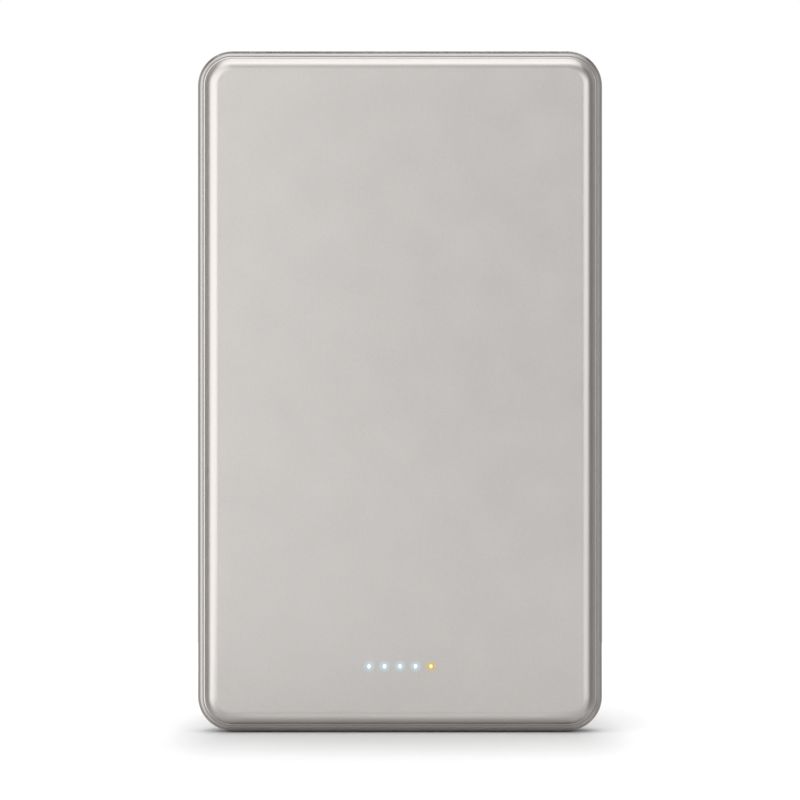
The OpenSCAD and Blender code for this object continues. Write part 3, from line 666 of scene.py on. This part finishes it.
screw_low, screw_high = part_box("board_screws")
shield_low, shield_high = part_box("light_shield")
head_r = 1.3 * mm
head_t = 0.7 * mm
shank_r = 0.7 * mm
pitch = 0.4 * mm
screw_edge = 2.3 * mm
cross_l = 0.9 * mm
cross_w = 0.22 * mm
cross_floor = head_t * 0.4
cross_flare = 1.7
seat = -board_y
foot = -screw_high.y
outline = [(0, foot), (shank_r * 0.7, foot)]
for i in range(5):
    outline += [(shank_r, foot + (i + 0.4) * pitch), (shank_r * 0.8, foot + (i + 0.9) * pitch)]
outline += [(shank_r * 0.8, seat), (head_r, seat), (head_r, seat + head_t * 0.4),
            (head_r * 0.92, seat + head_t * 0.72), (head_r * 0.7, seat + head_t * 0.93), (0, seat + head_t)]
places = [(side * (screw_high.x - head_r), screw_high.z - head_r) for side in (-1, 1)]
places += [(side * (shield_high.x + screw_edge), screw_low.z + head_r) for side in (-1, 1)]
bm = bmesh.new()
for x, y in places:
    turned(bm, outline, x, y)
bmesh.ops.remove_doubles(bm, verts=bm.verts, dist=0.004 * mm)
for width, height in ((cross_l, cross_w), (cross_w, cross_l)):
    recess = bmesh.new()
    for x, y in places:
        face = rounded_plate(recess, width, height, 0.06 * mm, (x, y, seat + cross_floor), steps=2)
        top = thicken(recess, face, head_t)
        bmesh.ops.scale(recess, vec=(cross_flare, cross_flare, 1), space=Matrix.Translation((-x, -y, 0)),
                        verts=top.verts)
    bm = carve(bm, recess)
make_piece("cross_screws", bm, screw_finish, "case", ["board_screws"], sharp=40)


# ---- Sockets ----
# A USB-A and a USB-C socket on the top edge. Each has a shell folded from nickel-plated steel, a
# moulded tongue and gold-plated contacts. Spring fingers in the large shell grip the plug.

def open_can(width, height, radius, depth):
    """A shell folded from sheet, open at both ends, with its mouth facing up at the origin. The
    rim is eased on both sides."""
    eased = 0.08 * mm
    bm = bmesh.new()
    back = rounded_plate(bm, width, height, radius, (0, 0, -depth), steps=8)
    mouth = thicken(bm, back, depth - eased)
    step_in(bm, mouth, eased, eased)
    inset(bm, mouth, sheet_t - 2 * eased)
    step_in(bm, mouth, eased, -eased)
    inset(bm, back, sheet_t)
    open_through(bm, [mouth, back])
    return bm


def add_shape(bm, other):
    """Adds another mesh to this one without joining their surfaces, and uses it up."""
    mesh = bpy.data.meshes.new("added")
    other.to_mesh(mesh)
    other.free()
    bm.from_mesh(mesh)
    bpy.data.meshes.remove(mesh)


def tongue(width, thickness, reach, middle, lead_in, base_w, base_h, base_r, base_depth, depth):
    """A moulded tongue on its base, pointing up. Its tip has a lead-in all round."""
    bm = bmesh.new()
    low = rounded_plate(bm, width, thickness, 0.12 * mm, (0, middle, -depth + base_depth / 2), steps=3)
    tip = thicken(bm, low, reach + base_depth / 2 - lead_in)
    step_in(bm, tip, lead_in * 0.6, lead_in)
    base = bmesh.new()
    face = rounded_plate(base, base_w, base_h, base_r, (0, 0, -depth), steps=8)
    thicken(base, face, base_depth)
    return carve(bm, base, "UNION")


def stand_socket(bm, x):
    """Turns a socket part's mouth upwards and moves it to its place in the top edge."""
    bmesh.ops.rotate(bm, cent=(0, 0, 0), matrix=upwards, verts=bm.verts)
    bmesh.ops.translate(bm, vec=(x, mouth_y, 0), verts=bm.verts)


# nickel-plated steel: bright warm grey with drawing streaks along the shell
shell_finish = rolled_metal("nickel_plated_steel", "#bdb9b2", streak=(0.08 * mm, 0.08 * mm, 2 * mm),
                            roughness=0.22)
usb_a_deep = mouth_y - usb_a_low.z
bm = open_can(usb_a_w, usb_a_t, usb_a_r, usb_a_deep)
finger_w = 1.3 * mm
finger_gap = 0.3 * mm
finger_x = 3.1 * mm
slit_top = 3.2 * mm
slit_l = 5.4 * mm
for side in (-1, 1):
    slit = cutter(finger_w + 2 * finger_gap, usb_a_t + 2 * mm, 0.2 * mm, slit_l, 0,
                  at=(side * finger_x, 0, -slit_top), steps=3)
    trim(slit, (0, 0, -slit_top), (0, 0, 1))
    bm = carve(bm, slit)

# each spring finger runs up its slit from a root in the wall: height and dip of each bend, in mm
bends = ((-9.2, 0.0), (-8.2, 0.0), (-6.2, 0.22), (-4.8, 0.52), (-4.3, 0.56), (-3.7, 0.3))
wall_mid = usb_a_t / 2 - sheet_t / 2
for side in (-1, 1):
    for wall_side in (-1, 1):
        x = side * finger_x - finger_w / 2
        spring = bmesh.new()
        chain = [spring.verts.new((x, wall_side * (wall_mid - dip * mm), z * mm)) for z, dip in bends]
        path = [spring.edges.new(pair) for pair in zip(chain, chain[1:])]
        swept = bmesh.ops.extrude_edge_only(spring, edges=path)["geom"]
        bmesh.ops.translate(spring, vec=(finger_w, 0, 0),
                            verts=[v for v in swept if isinstance(v, bmesh.types.BMVert)])
        bmesh.ops.solidify(spring, geom=list(spring.faces), thickness=sheet_t * 0.8)
        bmesh.ops.recalc_face_normals(spring, faces=spring.faces)
        add_shape(bm, spring)
stand_socket(bm, usb_a_x)

# two ears on each side lie flat on the board, where they are soldered
shell_low, shell_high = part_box("usb_a_shell")
ear_l = 1.5 * mm
ear_root = 0.15 * mm
left_root = usb_a_x - usb_a_w / 2 + ear_root
right_root = usb_a_x + usb_a_w / 2 - ear_root
for down in (0.45, 0.85):
    z = mouth_y - down * usb_a_deep - ear_l / 2
    for x0, x1 in ((shell_low.x, left_root), (right_root, shell_high.x)):
        eased_block(bm, Vector((x0, board_y - sheet_t, z)), Vector((x1, board_y, z + ear_l)),
                    radius=0.25 * mm, ease=0.05 * mm)
make_piece("usb_a_can", bm, shell_finish, "case", ["usb_a_shell"])
usb_c_deep = mouth_y - usb_c_low.z
bm = open_can(usb_c_w, usb_c_t, usb_c_t / 2 * round_end, usb_c_deep)
stand_socket(bm, usb_c_x)
make_piece("usb_c_can", bm, shell_finish, "case", ["usb_c_shell"])

a_set = mouth_y - usb_a_high.z
a_base = 2.4 * mm
a_tip_w = 11.1 * mm
a_tip_t = 1.84 * mm
a_tongue = tongue(width=a_tip_w, thickness=a_tip_t, reach=usb_a_deep - a_base - a_set,
                  middle=-a_tip_t / 2, lead_in=0.35 * mm, base_w=usb_a_high.x - usb_a_low.x,
                  base_h=usb_a_high.y - usb_a_low.y, base_r=usb_a_r - sheet_t,
                  base_depth=a_base, depth=usb_a_deep)
stand_socket(a_tongue, usb_a_x)
make_piece("usb_a_bar", a_tongue, nylon_finish, "case", ["usb_a_tongue"], sharp=20)
c_tip_low, c_tip_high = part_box("usb_c_tongue")
c_set = mouth_y - c_tip_high.z
c_base = 1.8 * mm
c_base_h = c_tip_high.y - c_tip_low.y
c_tip_w = 6.7 * mm
c_tip_t = 0.7 * mm
c_tongue = tongue(width=c_tip_w, thickness=c_tip_t, reach=usb_c_deep - c_base - c_set,
                  middle=0, lead_in=0.3 * mm, base_w=c_tip_high.x - c_tip_low.x,
                  base_h=c_base_h, base_r=c_base_h / 2 * round_end,
                  base_depth=c_base, depth=usb_c_deep)
stand_socket(c_tongue, usb_c_x)
make_piece("usb_c_bar", c_tongue, nylon_finish, "case", ["usb_c_tongue"], sharp=20)

# gold plate: yellow and bright, with short wipe marks in the direction of the plug
gold_finish = rolled_metal("wiped_gold_plate", "#d8b35c", streak=(0.05 * mm, 0.05 * mm, 0.8 * mm),
                           roughness=0.24)
dress(gold_finish, "usb_a_contacts", "usb_c_contacts")


# ---- Lights ----
# A second board near the foot carries five light diodes, four white and one amber, in a black block
# with a well for each. A clear moulding leads the light through five windows in the front cover.

light_low, light_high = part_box("white_leds")
light_pitch = 2.5 * mm
light_y = (light_low.z + light_high.z) / 2
light_count = 5
light_d = 0.7 * mm
row_half = (light_count - 1) / 2 * light_pitch


def from_light(tree, axes, upright=1.0):
    """How far a place is from the middle of the nearest light, with its height counted by a share."""
    across = add_node(tree, "ShaderNodeMath", {
        0: axes.outputs["X"], 1: light_pitch / 2, 2: -light_pitch / 2}, operation="WRAP")
    up = add_node(tree, "ShaderNodeMath", {0: axes.outputs["Z"], 1: light_y}, operation="SUBTRACT")
    offset = add_node(tree, "ShaderNodeCombineXYZ", {"X": across.outputs[0], "Z": up.outputs[0]})
    counted = add_node(tree, "ShaderNodeVectorMath", {0: offset.outputs["Vector"], 1: (1, 0, upright)},
                       operation="MULTIPLY")
    return add_node(tree, "ShaderNodeVectorMath", {0: counted.outputs["Vector"]},
                    operation="LENGTH").outputs["Value"]


dress(masked_board("masked_light_board", "led_board"), "led_board")

# lit diodes: a glowing phosphor window in a white moulded frame; the amber one is a tinted resin
diode_w = 0.8 * mm
well_rim = 0.12 * mm
well_d = 0.1 * mm
for name, slot, colour, frame_colour in (("white_leds", "led_white", "#f4e9a2", "#e9e8e2"),
                                         ("amber_led", "led_amber", "#ffa51f", "#d9a24a")):
    diode_finish, tree, shader, place = start_finish("lit_" + name, roughness=0.35)
    axes = add_node(tree, "ShaderNodeSeparateXYZ", {"Vector": place})
    window = add_node(tree, "ShaderNodeMapRange", {
        "Value": from_light(tree, axes, upright=0.55), "From Min": 0.26 * mm, "From Max": 0.32 * mm,
        "To Min": 1.0, "To Max": 0.0})
    face = add_node(tree, "ShaderNodeMix", {
        "Factor": window.outputs["Result"], 6: linear(frame_colour), 7: linear(colour)}, data_type="RGBA")
    tree.links.new(face.outputs[2], shader.inputs["Base Color"])
    tree.links.new(face.outputs[2], shader.inputs["Emission Color"])
    tree.links.new(window.outputs["Result"], shader.inputs["Emission Strength"])
    diode_low, diode_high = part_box(name)
    depth = diode_high.y - diode_low.y
    bm = bmesh.new()
    for i in range(round((diode_high.x - diode_low.x - diode_w) / light_pitch) + 1):
        at = (diode_low.x + diode_w / 2 + i * light_pitch, light_y, -diode_high.y)
        plate = rounded_plate(bm, diode_w, diode_high.z - diode_low.z, 0.08 * mm, at, steps=3)
        sink(bm, thicken(bm, plate, depth), well_rim, -well_d)
    make_piece(name.replace("led", "diode"), bm, diode_finish, "case", [name])

# black polycarbonate, loaded so that no light passes: deep black and dull
block_finish = moulded("loaded_black_polycarbonate", "#121213", "#1d1d1f", grain=0.2 * mm, relief=0.005 * mm,
                       roughness=0.62)
dress(block_finish, "light_shield")

guide_low, guide_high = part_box("light_guide")
bar_z = -shield_low.y
bar_t = 0.8 * mm
pin_r = light_d / 2 - 0.03 * mm
post_r = 0.75 * mm
pin_top = -guide_low.y
dome = 0.12 * mm
bm = bmesh.new()
face = rounded_plate(bm, guide_high.x - guide_low.x, guide_high.z - guide_low.z, 0.5 * mm,
                     (0, light_y, bar_z), steps=6)
top = thicken(bm, face, bar_t)
round_over(bm, top.edges, radius=0.1 * mm, steps=2)
posts = bmesh.new()
outline = ((0, -guide_high.y), (post_r, -guide_high.y), (post_r, bar_z + bar_t / 2),
           (pin_r, bar_z + bar_t / 2), (pin_r, pin_top - dome), (pin_r * 0.9, pin_top - dome * 0.5),
           (pin_r * 0.6, pin_top - dome * 0.12), (0, pin_top))
for i in range(light_count):
    turned(posts, outline, i * light_pitch - row_half, light_y)
bmesh.ops.remove_doubles(posts, verts=posts.verts, dist=0.004 * mm)
bm = carve(bm, posts, "UNION")

# clear polycarbonate: each pin glows towards its end, cool white, and golden on the right, with a
# bright core and a deeper rim
guide_finish, tree, shader, place = start_finish(
    "clear_polycarbonate", roughness=0.12, ior=1.585, transmission_weight=1.0, base_color=linear("#f2f4f4"))
axes = add_node(tree, "ShaderNodeSeparateXYZ", {"Vector": place})
core = add_node(tree, "ShaderNodeMapRange", {
    "Value": from_light(tree, axes), "From Min": 0.21 * mm, "From Max": pin_r + 0.04 * mm,
    "To Min": 1.0, "To Max": 0.0}, interpolation_type="SMOOTHSTEP")
right_end = add_node(tree, "ShaderNodeMath", {0: axes.outputs["X"], 1: row_half - light_pitch / 2},
                     operation="GREATER_THAN")
middle = add_node(tree, "ShaderNodeMix", {
    "Factor": right_end.outputs[0], 6: linear("#f4ffff"), 7: linear("#fff4bc")}, data_type="RGBA")
rim = add_node(tree, "ShaderNodeMix", {
    "Factor": right_end.outputs[0], 6: linear("#b4dcea"), 7: linear("#dfb456")}, data_type="RGBA")
glow = add_node(tree, "ShaderNodeMix", {
    "Factor": core.outputs["Result"], 6: rim.outputs[2], 7: middle.outputs[2]}, data_type="RGBA")
flecks = add_node(tree, "ShaderNodeTexNoise", {"Vector": place, "Scale": 1 / (0.3 * mm), "Detail": 2.0})
end = add_node(tree, "ShaderNodeMapRange", {
    "Value": axes.outputs["Y"], "From Min": -bar_z - bar_t, "From Max": 0.15 * mm - pin_top, "To Min": 0.05})
bright = add_node(tree, "ShaderNodeMath", {0: flecks.outputs["Fac"], 1: 0.2, 2: 0.9},
                  operation="MULTIPLY_ADD")
power = add_node(tree, "ShaderNodeMath", {0: end.outputs["Result"], 1: bright.outputs[0]},
                 operation="MULTIPLY")
tree.links.new(glow.outputs[2], shader.inputs["Emission Color"])
tree.links.new(power.outputs[0], shader.inputs["Emission Strength"])
make_piece("light_pipe", bm, guide_finish, "case", ["light_guide"])


# ---- Seals ----
# A soft grey bead in each seam, between the lip of the frame and the cover. It is moulded in
# silicone rubber, with a thin foot under the rim of the cover, which it cushions.

# silicone rubber: mid grey, dull and faintly cloudy
seal_finish = moulded("grey_silicone_rubber", "#7f7b77", "#8b8783", grain=0.3 * mm, relief=0.004 * mm,
                      roughness=0.6)

# the bead starts a little below the top of the lip and rises towards the cover, to a narrow crest
bead_drop = 0.06 * mm
bead_rise = 0.12 * mm
bead_w = 0.135 * mm
crest_w = 0.01 * mm
foot_t = 0.1 * mm
foot_w = 0.5 * mm
half_turn = Matrix.Rotation(radians(180), 3, "Y")
for name, turn in (("front_seal", Matrix.Identity(3)), ("back_seal", half_turn)):
    bm = bmesh.new()
    ring = rounded_plate(bm, band_w - 2 * lip_w, band_h - 2 * lip_w, corner_r - lip_w,
                         (0, middle_y, high.y - step_d), steps=24)
    top = thicken(bm, ring, step_d - bead_drop)
    step_in(bm, top, bead_w - crest_w, bead_rise)
    foot = sink(bm, top, crest_w, foot_t + bead_drop - bead_rise - step_d)
    inset(bm, foot, foot_w)
    inset(bm, ring, bead_w + foot_w)
    open_through(bm, [foot, ring])
    bmesh.ops.rotate(bm, cent=(0, middle_y, 0), matrix=turn, verts=bm.verts)
    make_piece(name.replace("seal", "bead"), bm, seal_finish, "case", [name])


# ---- Covers ----
# Two covers, drawn from 0.8 mm aluminium sheet. Each has a flat face and a round shoulder that
# turns down into the step of the frame. They get the same blasting and anodising as the frame, whose
# colour is drawn darker than theirs as painted shade.

def cover_shell(node):
    """A drawn cover lying face up, made to its packed size."""
    low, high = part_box(node)
    flat_z = max(abs(low.y), abs(high.y))
    rim_z = min(abs(low.y), abs(high.y))
    bm = bmesh.new()
    rim = rounded_plate(bm, high.x - low.x, high.z - low.z, cover_r,
                        (0, middle_y, flat_z - shoulder_r), steps=24)
    face = thicken(bm, rim, shoulder_r)
    round_over(bm, face.edges, radius=shoulder_r * 0.999, steps=20)
    bmesh.ops.bisect_plane(bm, geom=list(bm.verts) + list(bm.edges) + list(bm.faces), dist=1e-7,
                           plane_co=(0, 0, rim_z), plane_no=(0, 0, -1), clear_outer=True)
    bmesh.ops.recalc_face_normals(bm, faces=bm.faces)
    bmesh.ops.solidify(bm, geom=list(bm.faces), thickness=cover_t)
    return bm


def add_rim(bm):
    """Adds the coined rim: a narrow land round the foot of the shoulder, which leans outwards and
    closes the seam over the bead. It comes after the windows, because it laps into the shell."""
    land = bmesh.new()
    under = rounded_plate(land, band_w - 2 * land_out, band_h - 2 * land_out, corner_r - land_out,
                          (0, middle_y, high.y - land_depth), steps=24)
    top = thicken(land, under, land_depth + bead_rise - bead_drop)
    step_in(land, top, land_w, land_rise)
    inset(land, under, land_w)
    open_through(land, [top, under])
    add_shape(bm, land)


cover_t = 0.8 * mm
shoulder_r = 2.35 * mm
cover_low, cover_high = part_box("front_cover")
cover_r = corner_r - (band_w - cover_high.x + cover_low.x) / 2
face_z = -cover_low.y
window_edge = 0.02 * mm
land_gap = 0.005 * mm
land_out = lip_w + bead_w + land_gap
land_w = 0.21 * mm
land_rise = 0.11 * mm
land_depth = 0.35 * mm

front = cover_shell("front_cover")
for i in range(light_count):
    window = cutter(light_d, light_d, light_d / 2 * round_end, 2 * cover_t, window_edge,
                    at=(i * light_pitch - row_half, light_y, face_z), steps=8)
    front = carve(front, window)
add_rim(front)

# a painted glow round each window: the metal round each pin gets emission, bluish, and golden on the
# right, and a warmer base colour by the golden one, as though each pin spilled its light on it
front_finish = blasted_aluminium("blasted_aluminium_front_painted_glow", "#c6c2bf")
tree = front_finish.node_tree
shader = tree.nodes["Principled BSDF"]
plain = shader.inputs["Base Color"].links[0].from_socket
place = add_node(tree, "ShaderNodeTexCoord").outputs["Object"]
axes = add_node(tree, "ShaderNodeSeparateXYZ", {"Vector": place})
painted_spill = add_node(tree, "ShaderNodeMapRange", {
    "Value": from_light(tree, axes), "From Min": 0.3 * mm, "From Max": 1.15 * mm,
    "To Min": 1.0, "To Max": 0.0}, interpolation_type="SMOOTHSTEP")
aside = add_node(tree, "ShaderNodeMath", {0: axes.outputs["X"]}, operation="ABSOLUTE")
in_row = add_node(tree, "ShaderNodeMath", {0: aside.outputs[0], 1: row_half + light_pitch / 2},
                  operation="LESS_THAN")
power = add_node(tree, "ShaderNodeMath", {0: painted_spill.outputs["Result"], 1: in_row.outputs[0]},
                 operation="MULTIPLY")
right_end = add_node(tree, "ShaderNodeMath", {0: axes.outputs["X"], 1: row_half - light_pitch / 2},
                     operation="GREATER_THAN")
painted_glow_colour = add_node(tree, "ShaderNodeMix", {
    "Factor": right_end.outputs[0], 6: linear("#276781"), 7: linear("#653100")}, data_type="RGBA")
warm = add_node(tree, "ShaderNodeMath", {0: power.outputs[0], 1: right_end.outputs[0]}, operation="MULTIPLY")
painted_glow_tone = add_node(tree, "ShaderNodeMix", {
    "Factor": warm.outputs[0], 6: linear("#ffffff"), 7: linear("#fffbbf")}, data_type="RGBA")
lit = add_node(tree, "ShaderNodeVectorMath", {0: plain, 1: painted_glow_tone.outputs[2]}, operation="MULTIPLY")
tree.links.new(lit.outputs["Vector"], shader.inputs["Base Color"])
tree.links.new(painted_glow_colour.outputs[2], shader.inputs["Emission Color"])
tree.links.new(power.outputs[0], shader.inputs["Emission Strength"])
make_piece("front_panel", front, front_finish, "case", ["front_cover"])

back = cover_shell("back_cover")
add_rim(back)
bmesh.ops.rotate(back, cent=(0, middle_y, 0), matrix=half_turn, verts=back.verts)
back_finish = blasted_aluminium("blasted_aluminium_back", "#c6c2bf")
make_piece("back_panel", back, back_finish, "case", ["back_cover"])


# ---- Studio ----
# A white sweep under soft lights: a ceiling of light, a tall one on the left, a low strip on the
# right, and the pale room behind. The camera stands in the dark gap between left and right.
# Azimuth is measured from the camera's side of the object towards its left, in degrees.

world = bpy.data.worlds.new("studio")
bpy.context.scene.world = world
world.use_nodes = True
sky = world.node_tree
way = add_node(sky, "ShaderNodeTexCoord").outputs["Generated"]
split = add_node(sky, "ShaderNodeSeparateXYZ", {"Vector": way})
left_part = add_node(sky, "ShaderNodeMath", {0: split.outputs["X"], 1: -1.0}, operation="MULTIPLY")
front_part = add_node(sky, "ShaderNodeMath", {0: split.outputs["Y"], 1: -1.0}, operation="MULTIPLY")
azimuth = add_node(sky, "ShaderNodeMath", {0: left_part.outputs[0], 1: front_part.outputs[0]},
                   operation="ARCTAN2")
elevation = add_node(sky, "ShaderNodeMath", {0: split.outputs["Z"]}, operation="ARCSINE")

# each light: azimuth and its half width, elevation and its half width, softness, all in degrees,
# and strength. A later light covers an earlier one, a weak one makes a dark gap, and the last goes
# all round.
lights = (
    (180, 62, 0, 45, 15, 1.0),
    (40, 34, 0, 62, 4, 1.25),
    (17, 16, 3, 27, 8, 1.88),
    (52, 21, -8, 36, 4, 1.8),
    (-32, 28, -30, 32, 6, 0.7),
    (-32, 26, 35, 25, 6, 0.5),
    (-34, 22, 9, 11, 4, 2.1),
    (-4, 5, 15, 42, 3, 0.3),
    (-4, 5, -3, 19, 2, 0.02),
    (0, 400, 90, 33, 8, 2.04),
)
strength = 0.22
for turn, half_width, height, half_height, soft, bright in lights:
    share = 1.0
    for angle, middle, half in ((azimuth, turn, half_width), (elevation, height, half_height)):
        away = add_node(sky, "ShaderNodeMath", {0: angle.outputs[0], 1: radians(middle)},
                        operation="SUBTRACT")
        wrapped = add_node(sky, "ShaderNodeMath", {0: away.outputs[0], 1: radians(180), 2: radians(-180)},
                           operation="WRAP")
        apart = add_node(sky, "ShaderNodeMath", {0: wrapped.outputs[0]}, operation="ABSOLUTE")
        edge = add_node(sky, "ShaderNodeMapRange", {
            "Value": apart.outputs[0], "From Min": radians(half + soft), "From Max": radians(half - soft)},
            interpolation_type="SMOOTHSTEP")
        share = add_node(sky, "ShaderNodeMath", {0: edge.outputs[0], 1: share},
                         operation="MULTIPLY").outputs[0]
    strength = add_node(sky, "ShaderNodeMix", {
        "Factor": share, "A": strength, "B": bright}).outputs["Result"]

# a narrow dark band crosses the room in the plane of the object, from side to side over the
# ceiling, and is deepest overhead. The slopes at the lips and the seams show it as thin lines.
slit_behind = 0.075
behind = add_node(sky, "ShaderNodeMath", {0: split.outputs["Y"], 1: slit_behind}, operation="SUBTRACT")
off_slit = add_node(sky, "ShaderNodeMath", {0: behind.outputs[0]}, operation="ABSOLUTE")
slit = add_node(sky, "ShaderNodeMapRange", {
    "Value": off_slit.outputs[0], "From Min": 0.06, "From Max": 0.03}, interpolation_type="SMOOTHSTEP")
sideways = add_node(sky, "ShaderNodeMath", {0: split.outputs["X"]}, operation="ABSOLUTE")
dim = add_node(sky, "ShaderNodeMapRange", {
    "Value": sideways.outputs[0], "From Min": 0.3, "From Max": 0.95, "To Min": 0.12, "To Max": 0.58})
more_left = add_node(sky, "ShaderNodeMapRange", {
    "Value": left_part.outputs[0], "From Min": 0.3, "From Max": 0.95, "To Max": 0.2})
slit_light = add_node(sky, "ShaderNodeMath", {0: dim.outputs["Result"], 1: more_left.outputs["Result"]},
                      operation="ADD")
strength = add_node(sky, "ShaderNodeMix", {
    "Factor": slit.outputs["Result"], "A": strength, "B": slit_light.outputs[0]}).outputs["Result"]

# the camera sees plain white behind the sweep
rays = add_node(sky, "ShaderNodeLightPath")
shown = add_node(sky, "ShaderNodeMix", {"Factor": rays.outputs["Is Camera Ray"], "A": strength, "B": 1.0})
background = sky.nodes["Background"]
background.inputs["Color"].default_value = linear("#ffffff")
sky.links.new(shown.outputs["Result"], background.inputs["Strength"])

table_r = 220 * mm
table_drop = 0.25 * mm
floor_mesh = bpy.data.meshes.new("floor")
sheet = bmesh.new()
bmesh.ops.create_circle(sheet, cap_ends=True, segments=96, radius=table_r)
bmesh.ops.translate(sheet, vec=(0, 0, -table_drop), verts=sheet.verts)
sheet.to_mesh(floor_mesh)
sheet.free()
floor = bpy.data.objects.new("floor", floor_mesh)
bpy.context.scene.collection.objects.link(floor)

# matt white, and greyer in the last millimetres before the foot, a painted contact shadow over the real
# one. The foot is the flat part of the bottom edge, and beyond is how far a place lies outside it on each
# axis.
floor_finish, tree, shader, place = start_finish("white_sweep", roughness=0.9)
foot_half = Vector((band_w / 2 - 5 * mm, high.y, 0))
size = add_node(tree, "ShaderNodeVectorMath", {0: place}, operation="ABSOLUTE")
outside = add_node(tree, "ShaderNodeVectorMath", {0: size.outputs["Vector"], 1: foot_half},
                   operation="SUBTRACT")
beyond = add_node(tree, "ShaderNodeVectorMath", {0: outside.outputs["Vector"], 1: (0, 0, 0)},
                  operation="MAXIMUM")
foot_gap = add_node(tree, "ShaderNodeVectorMath", {0: beyond.outputs["Vector"]}, operation="LENGTH")
painted_contact_shade = add_node(tree, "ShaderNodeMapRange", {
    "Value": foot_gap.outputs["Value"], "From Min": 0.5 * mm, "From Max": 5 * mm,
    "To Min": 0.64, "To Max": 0.74})
tree.links.new(painted_contact_shade.outputs["Result"], shader.inputs["Base Color"])

# a glow of its own carries the sweep up to white, sooner at the sides than at the front and back. The
# real shadow stays near the foot, where the glow is weak, and the glow, growing over 45 mm, paints how far
# the shadow reaches, further in front and behind than at the sides. The camera sees all of it, a
# reflection less, and it throws no light on the object.
side_haste = 4.5
mirrored_share = 0.3
uneven = add_node(tree, "ShaderNodeVectorMath", {0: beyond.outputs["Vector"], 1: (side_haste, 1, 1)},
                  operation="MULTIPLY")
distance = add_node(tree, "ShaderNodeVectorMath", {0: uneven.outputs["Vector"]}, operation="LENGTH")
near = add_node(tree, "ShaderNodeMapRange", {
    "Value": distance.outputs["Value"], "From Min": 0, "From Max": 45 * mm, "To Max": 0.265})
far = add_node(tree, "ShaderNodeMapRange", {
    "Value": distance.outputs["Value"], "From Min": 40 * mm, "From Max": table_r - 40 * mm, "To Max": 0.6},
    interpolation_type="SMOOTHSTEP")
own_glow = add_node(tree, "ShaderNodeMath", {0: near.outputs[0], 1: far.outputs[0]}, operation="ADD")
rays = add_node(tree, "ShaderNodeLightPath")
seen = add_node(tree, "ShaderNodeMath", {
    0: rays.outputs["Is Glossy Ray"], 1: mirrored_share, 2: rays.outputs["Is Camera Ray"]},
    operation="MULTIPLY_ADD")
seen_glow = add_node(tree, "ShaderNodeMath", {0: seen.outputs[0], 1: own_glow.outputs[0]},
                     operation="MULTIPLY")

# a brighter hump a few millimetres out, which only reflections show: it brightens the lower lip
rise = add_node(tree, "ShaderNodeMapRange", {
    "Value": distance.outputs["Value"], "From Min": 1.5 * mm, "From Max": 5 * mm})
fall = add_node(tree, "ShaderNodeMapRange", {
    "Value": distance.outputs["Value"], "From Min": 5 * mm, "From Max": 13 * mm})
hump = add_node(tree, "ShaderNodeMath", {0: rise.outputs["Result"], 1: fall.outputs["Result"]},
                operation="SUBTRACT")
size_axes = add_node(tree, "ShaderNodeSeparateXYZ", {"Vector": size.outputs["Vector"]})
middle_part = add_node(tree, "ShaderNodeMapRange", {
    "Value": size_axes.outputs["X"], "From Min": band_w / 2 - 2 * mm, "From Max": band_w / 2 - 9 * mm,
    "To Max": 0.35})
lift = add_node(tree, "ShaderNodeMath", {0: hump.outputs[0], 1: middle_part.outputs["Result"]},
                operation="MULTIPLY")
glow = add_node(tree, "ShaderNodeMath", {
    0: rays.outputs["Is Glossy Ray"], 1: lift.outputs[0], 2: seen_glow.outputs[0]}, operation="MULTIPLY_ADD")
shader.inputs["Emission Color"].default_value = linear("#ffffff")
tree.links.new(glow.outputs[0], shader.inputs["Emission Strength"])

# beside the object the sweep lets reflections pass, so that the side edges mirror the room down to
# their foot, and not the floor. The limit moves out with the distance in front or behind.
limit_slope = -0.6
aside = add_node(tree, "ShaderNodeMath", {
    0: size_axes.outputs["Y"], 1: limit_slope, 2: size_axes.outputs["X"]}, operation="MULTIPLY_ADD")
beside = add_node(tree, "ShaderNodeMapRange", {
    "Value": aside.outputs[0], "From Min": band_w / 2 - 4 * mm, "From Max": band_w / 2 + 4 * mm})
unseen = add_node(tree, "ShaderNodeMath", {0: beside.outputs["Result"], 1: rays.outputs["Is Glossy Ray"]},
                  operation="MULTIPLY")
clear = add_node(tree, "ShaderNodeBsdfTransparent")
surface = add_node(tree, "ShaderNodeMixShader", {
    "Fac": unseen.outputs[0], 1: shader.outputs["BSDF"], 2: clear.outputs["BSDF"]})
tree.links.new(surface.outputs["Shader"], tree.nodes["Material Output"].inputs["Surface"])
floor_mesh.materials.append(floor_finish)

bpy.context.scene.view_settings.view_transform = "Standard"
camera_data = bpy.data.cameras.new("camera")
camera = bpy.data.objects.new("camera", camera_data)
bpy.context.scene.collection.objects.link(camera)
bpy.context.scene.camera = camera

# the view is level, and view_w wide in an upright plane a little in front of the object's middle
camera_reach = 600 * mm
camera_height = 53.55 * mm
view_plane = 3.4 * mm
view_w = 129.504 * mm
sensor_w = 36
camera.location = (0, -camera_reach, camera_height)
camera.rotation_euler = (radians(90), 0, 0)
camera_data.sensor_width = sensor_w
camera_data.lens = sensor_w * (camera_reach - view_plane) / view_w
